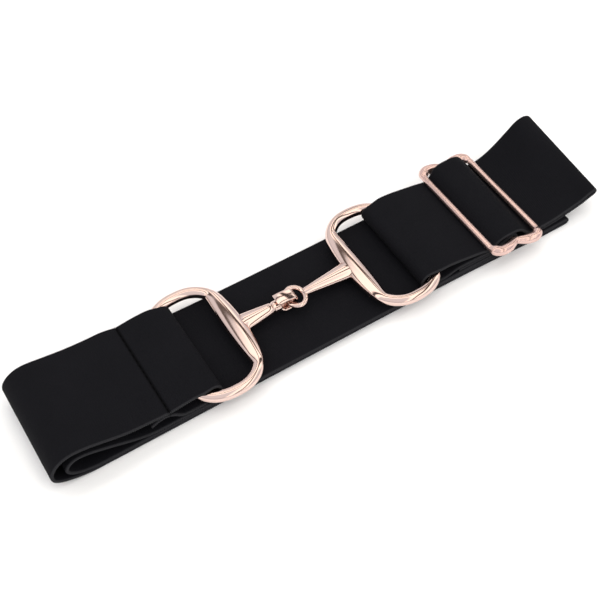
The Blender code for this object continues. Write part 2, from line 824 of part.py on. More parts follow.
def make_hook_half():
    """Bow, cheek bar, mouthpiece with its hollow collar, and hook, all one casting."""
    tip = -HOOK_MOUTH_TIP
    neck = HOOK_MOUTH_TIP_WIDTH / 2 - COLLAR_NECK_DEPTH
    lip = tip + COLLAR_LENGTH
    root = [(-place, half_width, half_height) for place, half_width, half_height in mouth_root()]
    mouth = mouth_bar(root + round_rows([
        (tip, HOOK_MOUTH_TIP_WIDTH / 2),
        (tip + COLLAR_NECK_DEPTH, neck),
        (tip + COLLAR_NECK_LENGTH, neck),
        (tip + COLLAR_NECK_LENGTH * 2, HOOK_MOUTH_TIP_WIDTH / 2),
        (lip, COLLAR_WIDTH / 2),
        (lip, COLLAR_WIDTH / 2 - COLLAR_WALL),
        (lip - COLLAR_RECESS, COLLAR_WIDTH / 2 - COLLAR_WALL * 2),
    ]), MOUTH_LEAN)
    return fuse("hook_half", [make_bow(-1), make_cheek(-1), mouth, make_hook()])


def make_ring_half():
    """Bow, cheek bar, mouthpiece and ring, all one casting."""
    start = RING_CENTRE + RING_HALF_LENGTH
    mouth = mouth_bar(round_rows([
        (start, RING_MOUTH_TIP_WIDTH / 2 * CHEEK_END_SHARE),
        (start + RING_WIRE / 2, RING_MOUTH_TIP_WIDTH / 2),
    ]) + mouth_root()[::-1], -MOUTH_LEAN)
    return fuse("ring_half", [make_bow(1), make_cheek(1), mouth, make_ring()])


def slider_point(u, v):
    """A point of the slider's tilted plane."""
    slope = (RIGHT_BAR[1] - LEFT_BAR[1]) / SLIDER_SPAN
    return (SLIDER_PLACE + u, v, FRAME_MIDDLE + u * slope)


def slider_lobe(side):
    """Half of the slide adjuster's frame: two end lobes and the bar between them."""
    corner = SLIDER_LOBE_CORNER
    reach = BELT_WIDTH / 2 + SLIDER_END_ROOM
    span = SLIDER_SPAN / 2
    lobe = SLIDER_LOBE_WIRE / 2
    thin = SLIDER_BAR / 2
    run = []
    for along, dip in LOBE_WAIST:
        radius = lobe - (lobe - SLIDER_WAIST_WIRE / 2) * dip
        run.append(((span - corner) * along, reach - SLIDER_WAIST * dip, radius))
    for i in range(CORNER_STEPS + 1):
        angle = math.pi / 2 * (1 - i / CORNER_STEPS)
        u = span - corner + corner * math.cos(angle)
        v = reach - corner + corner * math.sin(angle)
        swell = min(1.0, max(0.0, (v - BELT_WIDTH / 2 - FIT_GAP) / SLIDER_SHOULDER))
        run.append((u, v, thin + (lobe - thin) * swell))
    run.append((span, 0.0, thin))
    whole = run + [(u, -v, radius) for u, v, radius in run[-2::-1]]
    points = [slider_point(side * u, v) for u, v, radius in whole]
    return bar("lobe", points, [radius for u, v, radius in whole])


def make_slider():
    reach = BELT_WIDTH / 2 + SLIDER_END_ROOM - SLIDER_WAIST
    inner = BELT_WIDTH / 2 + FIT_GAP
    places = (reach, inner, -inner, -reach)
    points = []
    for place in places:
        x, y, z = slider_point(0.0, place)
        points.append((x, y, MIDDLE_BAR[1] if abs(place) < reach else z))
    middle = bar("middle_bar", points, [SLIDER_MIDDLE_BAR / 2] * len(points))
    return fuse("slide_adjuster", [slider_lobe(-1), slider_lobe(1), middle])


def clear_scene():
    for thing in list(bpy.data.objects):
        bpy.data.objects.remove(thing)


def main():
    clear_scene()
    collection = bpy.data.collections.new("elastic_stretch_belt")
    bpy.context.scene.collection.children.link(collection)
    carrier = bpy.data.objects.new("belt_centre", None)
    carrier.location = (-CENTRE_X, 0.0, 0.0)
    collection.objects.link(carrier)
    elastic = make_material("black_elastic", (0.012, 0.012, 0.013), 0.0, 0.85)
    rose_gold = make_material("polished_rose_gold", (0.86, 0.55, 0.45), 1.0, 0.14)
    satin_gold = make_material("satin_rose_gold", (0.80, 0.48, 0.40), 1.0, 0.28)
    band = loft("elastic_band", strap_sections(smooth_points(strap_rows())))
    finish(band, elastic, collection, carrier, math.radians(40))
    finish(make_hook_half(), rose_gold, collection, carrier, math.radians(40))
    finish(make_ring_half(), rose_gold, collection, carrier, math.radians(40))
    finish(make_slider(), satin_gold, collection, carrier, math.radians(40))


main()
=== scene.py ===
import math

import bmesh
import bpy
from mathutils import Matrix, Vector


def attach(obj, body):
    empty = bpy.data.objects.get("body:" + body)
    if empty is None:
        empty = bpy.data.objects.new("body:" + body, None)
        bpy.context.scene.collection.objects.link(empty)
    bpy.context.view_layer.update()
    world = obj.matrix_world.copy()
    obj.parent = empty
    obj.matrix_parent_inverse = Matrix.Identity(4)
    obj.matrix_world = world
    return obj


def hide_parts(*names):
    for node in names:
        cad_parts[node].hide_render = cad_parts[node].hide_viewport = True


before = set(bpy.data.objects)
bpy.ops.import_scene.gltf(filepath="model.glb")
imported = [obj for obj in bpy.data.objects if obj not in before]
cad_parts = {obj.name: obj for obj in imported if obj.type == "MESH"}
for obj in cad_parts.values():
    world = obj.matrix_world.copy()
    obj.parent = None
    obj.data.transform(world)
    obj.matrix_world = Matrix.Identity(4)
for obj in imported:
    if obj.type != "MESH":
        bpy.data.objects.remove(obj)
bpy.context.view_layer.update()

# The elastic strap.
BELT_WIDTH = 0.0500
BELT_THICKNESS = 0.0015
FIT_GAP = 0.0003

# How far the stack reaches from the middle of the buckle.
LEFT_REACH = 0.1290
RIGHT_REACH = 0.1529
RIGHT_FAR_SETBACK = 0.0010
LOW_FOLD_REACH = 0.1374
LOW_FOLD_RADIUS = 0.0011
STACK_END = 0.1180
ASKEW_START = 0.0767

# The outer fold on the left, which is a little higher at its near edge.
LEFT_FOLD_LENGTH = 0.0280
LEFT_FOLD_HEIGHT_NEAR = 0.0206
LEFT_FOLD_HEIGHT_FAR = 0.0187

# The fold inside it.
INNER_FOLD_INSET = 0.0064
INNER_FOLD_LENGTH = 0.0420
INNER_FOLD_HEIGHT_NEAR = 0.0158
INNER_FOLD_HEIGHT_FAR = 0.0141

# The fold on the right, pressed flat at its near edge and open at its far one.
RIGHT_FOLD_LENGTH = 0.0338
RIGHT_FOLD_LIFT_NEAR = 0.0078
RIGHT_FOLD_LIFT_FAR = 0.0190
NEAR_FOLD_SPREAD = 0.0008

# The sewn flap under the left end of the strap.
LEFT_SEAM = 0.0760
LEFT_FLAP_END = 0.0843
SEAM_SLACK = 0.0002

# The low layers lie a little askew at their right end, the top one in the middle.
LOW_LAYER_SHIFT = -0.0012
MIDDLE_LAYER_SHIFT = -0.0007

# Each half of the buckle: a D-shaped ring with a swollen cheek bar.
BOW_WIRE = 0.0052
BOW_WIDEST = 0.0455
BOW_REACH = 0.0650
BOW_INNER_RUN = 0.0187
BOW_START_ANGLE = math.radians(41.0)
BOW_ROUNDNESS_OUT = 2.6
BOW_ROUNDNESS_IN = 2.3
CHEEK_PLACE = 0.0307
CHEEK_WIDTH = 0.0096
CHEEK_HEIGHT = 0.0064
CHEEK_HALF_LENGTH = 0.0215
CHEEK_END_SETBACK = 0.0010
CHEEK_FULLNESS = 0.85
CHEEK_END_SHARE = 0.88
LOOP_INSET = 0.0055

# The two mouthpieces, thick at the cheek and thin at the middle. Each rises a
# little from the middle of the buckle to its cheek bar.
MOUTH_ROOT_WIDTH = 0.0088
MOUTH_ROOT_HEIGHT = 0.0054
HOOK_MOUTH_TIP_WIDTH = 0.0057
HOOK_MOUTH_TIP = 0.0130
RING_MOUTH_TIP_WIDTH = 0.0040
MOUTH_LEAN = math.radians(0.8)

# How a mouthpiece sinks into its cheek bar. Columns: place as a share of the
# cheek bar's half width from its middle, width and height as a share of the
# root's.
MOUTH_ROOT = (
    (0.0, 0.40),
    (0.50, 0.70),
    (0.80, 0.92),
    (1.08, 1.0),
)

# The oval ring, and the broad hook that curls up through it and back over it.
RING_CENTRE = -0.0004
RING_HALF_LENGTH = 0.0042
RING_HALF_WIDTH = 0.0052
RING_WIRE = 0.0025
HOOK_THICKNESS = 0.0015
HOOK_WIDTH = 0.0061
HOOK_HOLLOW = 0.0048
HOOK_PLAY = 0.0006
HOOK_TONGUE = 0.0106
HOOK_TONGUE_RISE = 0.0004
COLLAR_LENGTH = 0.0042
COLLAR_WIDTH = 0.0058
COLLAR_NECK_DEPTH = 0.0003
COLLAR_NECK_LENGTH = 0.0006
COLLAR_WALL = 0.0008
COLLAR_RECESS = 0.0014

# The slide adjuster: two end lobes, two long bars and a middle bar.
SLIDER_PLACE = 0.1022
SLIDER_SPAN = 0.0277
SLIDER_BAR = 0.0031
SLIDER_MIDDLE_BAR = 0.0024
SLIDER_MIDDLE_DROP = 0.0010
SLIDER_LOBE_WIRE = 0.0048
SLIDER_LOBE_CORNER = 0.0049
SLIDER_SHOULDER = 0.0024
SLIDER_END_ROOM = 0.0043
SLIDER_WAIST = 0.0022
SLIDER_WAIST_WIRE = 0.0034
HUMP_SLACK_NEAR = 0.0002
HUMP_SLACK_FAR = 0.0034
HUMP_SPREAD = 0.0005
HUMP_SHIFT = 0.0004

# The sewn flap under the right end of the strap, and how the strap steps over
# its end.
RIGHT_FLAP_CLEAR = 0.0049
FLAP_STEP_LENGTH = 0.0060
FLAP_WRAP_DEGREES = (128, -98)
FLAP_LANDING = 0.0061

# Smoothness of the solids.
TURN_STEP = math.radians(6.0)
RUN_STEP = 0.0040
STRIPS_ACROSS = 16
BOW_POINTS = 160
RING_POINTS = 96
CHEEK_STEPS = 48
CORNER_STEPS = 18
CHEEK_BLEND_START = 0.0150
BOW_BLEND_ANGLE = math.radians(52.0)
BLEND_STEPS = 10
TONGUE_ROUND_STEPS = 5
ROOT_STEPS = 5

# The dip where the slider's two lobes meet, and where their wire is thinner.
# Columns: place as a share of the way to the lobe's corner, dip as a share of the
# waist's depth.
LOBE_WAIST = (
    (0.0, 1.0),
    (0.30, 0.62),
    (0.62, 0.16),
)


def level(layer):
    """Height of the middle of a layer of the stack, counted from the bottom."""
    return BELT_THICKNESS * (layer - 0.5) + FIT_GAP * (layer - 1)


PITCH = BELT_THICKNESS + FIT_GAP
BOW_HEIGHT = level(4) + PITCH / 2 + FIT_GAP / 2 + BOW_WIRE / 2
OVER_BOW = BOW_HEIGHT + BOW_WIRE / 2 + FIT_GAP + BELT_THICKNESS / 2
LOOP_RADIUS = (OVER_BOW - level(4)) / 2
BOW_HALF = BELT_WIDTH / 2 + FIT_GAP + BOW_WIRE / 2
RIGHT_FLAP_END = BOW_REACH + BOW_WIRE / 2 + RIGHT_FLAP_CLEAR
FOLD_PLACE = BOW_WIDEST + LOOP_INSET + BELT_THICKNESS / 2 + LOOP_RADIUS
BAR_CLEAR = SLIDER_BAR / 2 + FIT_GAP + BELT_THICKNESS / 2
MIDDLE_CLEAR = SLIDER_MIDDLE_BAR / 2 + FIT_GAP + BELT_THICKNESS / 2
LEFT_BAR = (SLIDER_PLACE - SLIDER_SPAN / 2, level(6) + BAR_CLEAR)
RIGHT_BAR = (SLIDER_PLACE + SLIDER_SPAN / 2, level(4) + BAR_CLEAR)
FRAME_MIDDLE = (LEFT_BAR[1] + RIGHT_BAR[1]) / 2
MIDDLE_BAR = (SLIDER_PLACE, FRAME_MIDDLE - SLIDER_MIDDLE_DROP)
HUMP_BASE = MIDDLE_BAR[1] + MIDDLE_CLEAR + PITCH
CENTRE_X = (RIGHT_REACH - LEFT_REACH) / 2


def bow_outline(x):
    """Half height of the bow's middle line at a distance x from the buckle's middle."""
    if x > BOW_WIDEST:
        share = (x - BOW_WIDEST) / (BOW_REACH - BOW_WIDEST)
        power = BOW_ROUNDNESS_OUT
    else:
        share = (BOW_WIDEST - x) / BOW_INNER_RUN
        power = BOW_ROUNDNESS_IN
    return BOW_HALF * max(0.0, 1.0 - share ** power) ** (1.0 / power)


# Where it turns round the bow the strap is squeezed to fit between its arms.
FOLD_INNER = FOLD_PLACE - LOOP_RADIUS + BELT_THICKNESS / 2
FOLD_HALF = min(BELT_WIDTH / 2, bow_outline(FOLD_INNER) - BOW_WIRE / 2 - FIT_GAP)


class Row:
    """One station of the strap's middle line, with its near and its far edge."""

    def __init__(self, near, far=None, half=BELT_WIDTH / 2, shift=0.0):
        self.values = (*near, *(far or near), half, shift)


def turn(centre, radius, start, end, steps, half=BELT_WIDTH / 2, shift=0.0):
    """Stations on an arc in the X-Z plane, between two angles in degrees."""
    rows = []
    for i in range(steps + 1):
        angle = math.radians(start + (end - start) * i / steps)
        x = centre[0] + radius * math.cos(angle)
        z = centre[1] + radius * math.sin(angle)
        rows.append(Row((x, z), half=half, shift=shift))
    return rows


# The strap's left end: the flap rises to its seam, dips under the bow and
# comes back over it. Columns: place as a share of the way from the bow's reach
# to the flap's end, height as a share of the rise to the seam.
LEFT_FLAP = (
    (1.00, 0.63),
    (0.80, 0.95),
    (0.54, 1.00),
    (0.34, 0.60),
    (0.16, 0.09),
)

# Top of the left strap. Columns: place as a share of the way from the loop to
# the seam, rise above the loop's top as a share of the strap's thickness.
LEFT_TOP = (
    (0.22, 0.45),
    (0.42, 0.60),
    (0.66, 0.35),
    (0.84, 0.00),
    (1.00, -0.20),
)

# Outer fold on the left. Columns: place as a share of the fold's length from
# its tip, height at the near edge as a share of the fold's height there, the
# same for the far edge, going over the top and down.
LEFT_FOLD = (
    (1.62, 0.665, 0.806),
    (1.38, 0.690, 0.812),
    (1.16, 0.735, 0.830),
    (0.95, 0.812, 0.862),
    (0.74, 0.908, 0.912),
    (0.56, 0.970, 0.960),
    (0.38, 1.000, 1.000),
    (0.24, 0.962, 0.965),
    (0.11, 0.840, 0.840),
    (0.023, 0.645, 0.645),
    (0.0, 0.470, 0.470),
    (0.023, 0.330, 0.330),
    (0.095, 0.220, 0.220),
    (0.20, 0.138, 0.138),
    (0.345, 0.066, 0.066),
    (0.49, 0.018, 0.018),
    (0.63, 0.0, 0.0),
    (0.90, 0.0, 0.0),
)

# The fold inside it. Columns: place as a share of its length from its tip,
# height as a share of its height over the layer named last.
INNER_FOLD = (
    (0.47, 0.0, 2),
    (0.33, 0.0, 2),
    (0.225, 0.040, 2),
    (0.115, 0.145, 2),
    (0.033, 0.335, 2),
    (0.0, 0.545, 2),
    (0.015, 0.760, 2),
    (0.065, 0.935, 2),
    (0.13, 1.0, 2),
    (0.22, 0.970, 3),
    (0.315, 0.850, 3),
    (0.42, 0.690, 3),
    (0.53, 0.515, 3),
    (0.66, 0.290, 3),
    (0.79, 0.110, 3),
    (0.90, 0.022, 3),
    (1.02, 0.0, 3),
    (1.25, 0.0, 3),
)

# The fold on the right. Columns: place at the near edge as a share of the
# fold's length from its tip, rise there as a share of the near lift, place at
# the far edge and rise there as a share of the far lift.
RIGHT_FOLD_UNDER = (
    (1.00, 0.0, 1.00, 0.0),
    (0.87, 0.010, 0.88, 0.006),
    (0.73, 0.050, 0.74, 0.030),
    (0.48, 0.255, 0.50, 0.150),
    (0.235, 0.510, 0.29, 0.330),
    (0.095, 0.750, 0.12, 0.495),
)
RIGHT_FOLD_TIP = (
    (0.035, 0.605),
    (0.0, 0.750),
    (0.045, 0.905),
)
RIGHT_FOLD_OVER = (
    (0.145, 0.990),
    (0.265, 0.955),
    (0.395, 0.760),
    (0.565, 0.485),
    (0.735, 0.265),
    (0.90, 0.135),
)

# The strap inside the slider, from its right bar to its left one. Columns: place
# as a share of the way between the bars, height of the near edge as a share of
# the way up from the lower bar on the right of the top, and from the higher bar
# on its left, then the same for the far edge.
HUMP_RIGHT = (
    (0.0, 0.0, 0.0),
    (0.05, 0.012, 0.030),
    (0.10, 0.06, 0.15),
    (0.20, 0.34, 0.54),
    (0.31, 0.76, 0.88),
    (0.42, 0.96, 0.99),
    (0.55, 1.00, 1.00),
)
HUMP_LEFT = (
    (0.69, 0.94, 0.99),
    (0.81, 0.64, 0.82),
    (0.91, 0.18, 0.18),
    (0.955, 0.030, 0.035),
    (1.00, 0.0, 0.0),
)

# Top of the right strap, from the slider's left bar down to the loop. Columns:
# place as a share of the way from the loop, rise as a share of the way up from
# the left bar's underside to the loop's top.
RIGHT_TOP = (
    (0.91, 0.15),
    (0.80, 0.38),
    (0.66, 0.62),
    (0.50, 0.89),
    (0.34, 1.12),
    (0.16, 1.17),
)


# The hook's lower limb, from the collar to the ring's wire. Columns: place as a
# share of the way to the wire, height as a share of the height under the wire.
HOOK_LIMB = (
    (0.0, 0.0),
    (0.40, 0.35),
    (1.0, 0.92),
)


def left_end():
    """The flap, the loop round the left bow and the top of the left strap."""
    rows = []
    seam_height = OVER_BOW - PITCH
    reach = BOW_REACH + BOW_WIRE / 2
    rise = seam_height - level(4) - SEAM_SLACK
    for along, share in LEFT_FLAP:
        x = reach + (LEFT_FLAP_END - reach) * along
        rows.append(Row((-x, level(4) + rise * share)))
    rows.append(Row((-BOW_REACH, level(4))))
    rows.append(Row((-(FOLD_PLACE + BOW_REACH) / 2, level(4))))
    rows += turn((-FOLD_PLACE, BOW_HEIGHT), LOOP_RADIUS, -90, 90, 8, half=FOLD_HALF)
    for along, share in LEFT_TOP:
        x = FOLD_PLACE + (LEFT_SEAM - FOLD_PLACE) * along
        rows.append(Row((-x, OVER_BOW + share * BELT_THICKNESS)))
    return rows


def left_fold():
    """Round the outer fold and down to the bottom layer."""
    rows = []
    tip = LEFT_REACH - BELT_THICKNESS / 2
    near = LEFT_FOLD_HEIGHT_NEAR - BELT_THICKNESS
    far = LEFT_FOLD_HEIGHT_FAR - BELT_THICKNESS
    for along, near_share, far_share in LEFT_FOLD:
        x = -(tip - LEFT_FOLD_LENGTH * along)
        rows.append(Row((x, level(1) + near * near_share), (x, level(1) + far * far_share)))
    return rows


def low_fold():
    """The two bottom layers and the small fold that joins them on the right."""
    radius = LOW_FOLD_RADIUS
    tip = LOW_FOLD_REACH - BELT_THICKNESS / 2 - radius
    rows = [Row((ASKEW_START, level(1)))]
    rows.append(Row((STACK_END, level(1)), shift=LOW_LAYER_SHIFT))
    rows += turn((tip, level(1) + radius), radius, -90, 90, 6, shift=LOW_LAYER_SHIFT)
    rows.append(Row((STACK_END, level(2)), shift=LOW_LAYER_SHIFT))
    rows.append(Row((ASKEW_START, level(2))))
    return rows


def inner_fold():
    """Round the inner fold and up to the third layer."""
    rows = []
    tip = LEFT_REACH - BELT_THICKNESS / 2 - INNER_FOLD_INSET
    near = INNER_FOLD_HEIGHT_NEAR - BELT_THICKNESS / 2
    far = INNER_FOLD_HEIGHT_FAR - BELT_THICKNESS / 2
    for along, share, layer in INNER_FOLD:
        x = -(tip - INNER_FOLD_LENGTH * along)
        base = level(layer)
        near_z = base + (near - base) * share
        far_z = base + (far - base) * share
        rows.append(Row((x, near_z), (x, far_z)))
    for place in (-CHEEK_PLACE, CHEEK_PLACE):
        rows.append(Row((place, level(3)), shift=MIDDLE_LAYER_SHIFT))
    return rows


def beside(points, distance, spread):
    """Points to the left of a run in the X-Z plane, further off towards its end."""
    moved = []
    for i, point in enumerate(points):
        before = points[max(i - 1, 0)]
        after = points[min(i + 1, len(points) - 1)]
        length = math.dist(before, after)
        step = ((after[0] - before[0]) / length, (after[1] - before[1]) / length)
        off = distance + spread * (i / (len(points) - 1)) ** 3
        moved.append((point[0] - step[1] * off, point[1] + step[0] * off))
    return moved


def right_fold():
    """Round the right fold: tight at the near edge, an open loop at the far one."""
    near_tip = RIGHT_REACH - BELT_THICKNESS / 2
    far_tip = near_tip - RIGHT_FAR_SETBACK
    near_under = []
    far_under = []
    for near_along, near_rise, far_along, far_rise in RIGHT_FOLD_UNDER:
        near_z = level(3) + RIGHT_FOLD_LIFT_NEAR * near_rise
        near_under.append((near_tip - RIGHT_FOLD_LENGTH * near_along, near_z))
        far_z = level(3) + RIGHT_FOLD_LIFT_FAR * far_rise
        far_under.append((far_tip - RIGHT_FOLD_LENGTH * far_along, far_z))
    near_over = beside(near_under, PITCH + FIT_GAP / 5, NEAR_FOLD_SPREAD)
    near_tips = round_tip(near_under[-1], near_over[-1], near_tip)
    near_run = near_tips + near_over[::-1]
    far_run = []
    for far_along, far_rise in RIGHT_FOLD_TIP + RIGHT_FOLD_OVER:
        far_z = level(3) + RIGHT_FOLD_LIFT_FAR * far_rise
        far_run.append((far_tip - RIGHT_FOLD_LENGTH * far_along, far_z))
    rows = [Row(near, far) for near, far in zip(near_under, far_under)]
    rows += [Row(near, far) for near, far in zip(near_run, far_run)]
    return rows


def round_tip(low, high, tip):
    """Three points round the end of a fold, from its lower run to its upper one."""
    radius = math.dist(low, high) / 2
    middle = ((low[0] + high[0]) / 2, (low[1] + high[1]) / 2)
    lean = math.atan2(high[1] - low[1], high[0] - low[0])
    run = tip - radius - middle[0]
    centre = (middle[0] + run, middle[1] + run * math.tan(lean - math.pi / 2))
    points = []
    for i in range(3):
        angle = lean + math.pi + (i + 0.5) * math.pi / 3
        x = centre[0] + radius * math.cos(angle)
        z = centre[1] + radius * math.sin(angle)
        points.append((x, z))
    return points


def through_slider():
    """Under the right bar, over the middle one and under the left one."""
    low = RIGHT_BAR[1] - BAR_CLEAR
    high = LEFT_BAR[1] - BAR_CLEAR
    rows = []
    for base, table in ((low, HUMP_RIGHT), (high, HUMP_LEFT)):
        for along, near_share, far_share in table:
            x = RIGHT_BAR[0] - SLIDER_SPAN * along
            near = base + (HUMP_BASE + HUMP_SLACK_NEAR - base) * near_share
            far = base + (HUMP_BASE + HUMP_SLACK_FAR - base) * far_share
            loose = math.sin(math.pi * along)
            half = BELT_WIDTH / 2 + HUMP_SPREAD * loose
            rows.append(Row((x, near), (x, far), half, HUMP_SHIFT * loose))
    return rows


def right_end():
    """From the slider over the right bow, round it, and back to the middle bar."""
    left_x, left_z = LEFT_BAR
    high = left_z - BAR_CLEAR
    rows = []
    for along, share in RIGHT_TOP:
        x = FOLD_PLACE + (left_x - FOLD_PLACE) * along
        rows.append(Row((x, high + (OVER_BOW - high) * share)))
    rows += turn((FOLD_PLACE, BOW_HEIGHT), LOOP_RADIUS, 90, 270, 8, half=FOLD_HALF)
    rows.append(Row(((FOLD_PLACE + BOW_REACH) / 2, level(4))))
    step_end = RIGHT_FLAP_END - BELT_THICKNESS
    step_start = step_end - FLAP_STEP_LENGTH
    rows.append(Row((step_start, level(4))))
    rows.append(Row(((step_start + step_end) / 2, (level(4) + level(5)) / 2)))
    rows.append(Row((step_end, level(5))))
    rows.append(Row((left_x - SLIDER_BAR, level(5))))
    rise_start = left_x + SLIDER_BAR
    wrap_start, wrap_end = FLAP_WRAP_DEGREES
    top_x = MIDDLE_BAR[0] + MIDDLE_CLEAR * math.cos(math.radians(wrap_start))
    top_z = MIDDLE_BAR[1] + MIDDLE_CLEAR * math.sin(math.radians(wrap_start))
    rows.append(Row((rise_start, level(5))))
    rows.append(Row(((rise_start + top_x) / 2, (level(5) + top_z) / 2)))
    rows += turn(MIDDLE_BAR, MIDDLE_CLEAR, wrap_start, wrap_end, 8)
    rows.append(Row((MIDDLE_BAR[0] - FLAP_LANDING, level(4))))
    rows.append(Row((left_x, level(4))))
    rows.append(Row((RIGHT_FLAP_END, level(4))))
    return rows


def strap_rows():
    rows = left_end() + left_fold() + low_fold() + inner_fold()
    rows += right_fold() + through_slider() + right_end()
    return [row.values for row in rows]


def smooth_points(rows):
    """A centripetal curve through the rows, with more steps where it bends."""
    count = len(rows)
    result = []
    for i in range(count - 1):
        p0 = rows[max(i - 1, 0)]
        p1 = rows[i]
        p2 = rows[i + 1]
        p3 = rows[min(i + 2, count - 1)]
        if i == 0:
            p0 = tuple(2 * a - b for a, b in zip(p1, p2))
        if i == count - 2:
            p3 = tuple(2 * b - a for a, b in zip(p1, p2))
        before = math.atan2(p2[1] - p0[1], p2[0] - p0[0])
        after = math.atan2(p3[1] - p1[1], p3[0] - p1[0])
        bend = abs((after - before + math.pi) % (2 * math.pi) - math.pi)
        far_before = math.atan2(p2[3] - p0[3], p2[2] - p0[2])
        far_after = math.atan2(p3[3] - p1[3], p3[2] - p1[2])
        far_bend = abs((far_after - far_before + math.pi) % (2 * math.pi) - math.pi)
        length = math.dist(p1, p2)
        steps = max(1, math.ceil(max(bend, far_bend) / TURN_STEP), math.ceil(length / RUN_STEP))
        knots = [0.0]
        for a, b in ((p0, p1), (p1, p2), (p2, p3)):
            knots.append(knots[-1] + max(math.dist(a, b), 1e-9) ** 0.5)
        for step in range(steps):
            t = knots[1] + (knots[2] - knots[1]) * step / steps
            result.append(curve_value((p0, p1, p2, p3), knots, t))
    result.append(rows[-1])
    return result


def curve_value(points, knots, t):
    """One value of the centripetal curve on four points."""
    layer = [Vector(point) for point in points]
    for order in (1, 2, 3):
        blended = []
        for i in range(len(layer) - 1):
            low = knots[i]
            high = knots[i + order]
            if order == 3:
                low = knots[1]
                high = knots[2]
            share = (t - low) / (high - low)
            blended.append(layer[i] * (1 - share) + layer[i + 1] * share)
        layer = blended
    return tuple(layer[0])


def bow_points(side):
    """The bow's middle line, from inside one end of the cheek bar to the other."""
    quarter = BOW_POINTS // 4
    outer = BOW_REACH - BOW_WIDEST
    half_run = []
    for i in range(quarter + 1):
        angle = BOW_START_ANGLE + (math.pi / 2 - BOW_START_ANGLE) * i / quarter
        x = BOW_WIDEST - BOW_INNER_RUN * math.cos(angle) ** (2 / BOW_ROUNDNESS_IN)
        y = BOW_HALF * math.sin(angle) ** (2 / BOW_ROUNDNESS_IN)
        half_run.append((x, y))
    for i in range(1, quarter + 1):
        angle = math.pi / 2 * (1 - i / quarter)
        x = BOW_WIDEST + outer * math.cos(angle) ** (2 / BOW_ROUNDNESS_OUT)
        y = BOW_HALF * math.sin(angle) ** (2 / BOW_ROUNDNESS_OUT)
        half_run.append((x, y))
    whole = half_run + [(x, -y) for x, y in half_run[-2::-1]]
    return [(side * x, y, BOW_HEIGHT) for x, y in whole]


def hook_path():
    """The hook's middle line: out of the collar, under the ring's wire, up and back."""
    low = -(RING_WIRE / 2 + FIT_GAP + HOOK_THICKNESS / 2)
    half_height = (HOOK_HOLLOW + HOOK_THICKNESS) / 2
    wire_left = RING_CENTRE - RING_HALF_LENGTH
    edge = math.sqrt(1 - (HOOK_WIDTH / 2 / RING_HALF_WIDTH) ** 2)
    wire_right = RING_CENTRE - RING_HALF_LENGTH * edge
    centre_x = (wire_left + wire_right) / 2 + RING_WIRE / 2
    half_width = wire_right + RING_WIRE / 2 + HOOK_PLAY + HOOK_THICKNESS / 2 - centre_x
    middle = low + half_height
    start = -HOOK_MOUTH_TIP + COLLAR_LENGTH - COLLAR_RECESS - HOOK_THICKNESS / 2
    reach = wire_left - RING_WIRE - start
    path = [(start + reach * along, low * drop) for along, drop in HOOK_LIMB]
    for degrees in range(-90, 91, 20):
        angle = math.radians(degrees)
        x = centre_x + half_width * math.cos(angle)
        path.append((x, middle + half_height * math.sin(angle)))
    top = middle + half_height
    path.append(((centre_x - HOOK_TONGUE) / 2, top + HOOK_TONGUE_RISE))
    path.append((-HOOK_TONGUE, top + HOOK_TONGUE_RISE))
    return [(x, BOW_HEIGHT + z) for x, z in path]


def slider_point(u, v):
    """A point of the slider's tilted plane."""
    slope = (RIGHT_BAR[1] - LEFT_BAR[1]) / SLIDER_SPAN
    return (SLIDER_PLACE + u, v, FRAME_MIDDLE + u * slope)


# Smoothness of the shown meshes.
EDGE_STEPS = 6
SEAM_STEP = 0.00035
SEAM_ZONE = 0.0040

# The cloth's tones. The selvedge is paler; along the pressed seam's groove the strap gets painted
# shade, a darker colour and less gloss.
ELASTIC_DARK = (0.0044, 0.0044, 0.0058)
ELASTIC_PALE = (0.0062, 0.0062, 0.0080)
SELVEDGE_TONE = (0.020, 0.020, 0.0225)
SEAM_SHADE_TONE = (0.0028, 0.0028, 0.0031)
ELASTIC_GLOSS = 0.088
SEAM_SHADE_GLOSS = 0.03

# Threads: colour and gloss.
SELVEDGE_YARN = ((0.021, 0.021, 0.0235), 0.12)
SEAM_THREAD = ((0.0016, 0.0016, 0.0018), 0.01)

# Rose gold: pale and deep tone, least and most roughness, ripple, metallic share.
POLISHED = ((0.79, 0.612, 0.552), (0.74, 0.545, 0.480), 0.06, 0.11, 0.08, 1.0)
SATIN = ((0.74, 0.535, 0.485), (0.68, 0.46, 0.41), 0.19, 0.22, 0.0, 0.92)

# The floor, and the lamps over it: place, size, power, tint.
FLOOR_SIZE = 6.0
FLOOR_DROP = 0.0002
FLOOR_TONES = ((0.955, 0.955, 0.955), (0.97, 0.97, 0.97))
LAMPS = {
    "window": ((-0.20, 0.30, 1.30), (1.8, 1.6), 6.5, (0.97, 0.98, 1.0)),
    "fill": ((0.7, -0.9, 0.8), (1.2, 1.2), 3.5, (1.0, 1.0, 1.0)),
}

# The studio round the belt. Columns of the dome: height of a direction, colour.
# Columns of the strips: axis that the strip runs round, half width and soft edge
# in degrees, how far it reaches to the far side, colour.
WORLD_STRENGTH = 1.04
DOME_BANDS = (
    (0.0, (0.80, 0.81, 0.84)),
    (0.16, (0.84, 0.85, 0.88)),
    (0.24, (0.46, 0.46, 0.49)),
    (0.32, (0.86, 0.87, 0.90)),
    (1.0, (0.92, 0.93, 0.96)),
)
STUDIO_STRIPS = (
    ((0.0, -0.978, 0.208), 13.0, 8.0, 1.00, (1.70, 1.62, 1.50)),
    ((0.857, 0.0, -0.515), 12.0, 8.0, 0.66, (1.70, 1.62, 1.50)),
    ((0.0, -0.978, 0.208), 2.2, 2.6, 1.00, (0.05, 0.04, 0.04)),
    ((0.0, -0.820, 0.572), 1.3, 2.2, 1.00, (0.12, 0.10, 0.09)),
    ((0.857, 0.0, -0.515), 1.8, 2.8, 0.66, (0.05, 0.04, 0.04)),
)
STRIP_END = 0.08
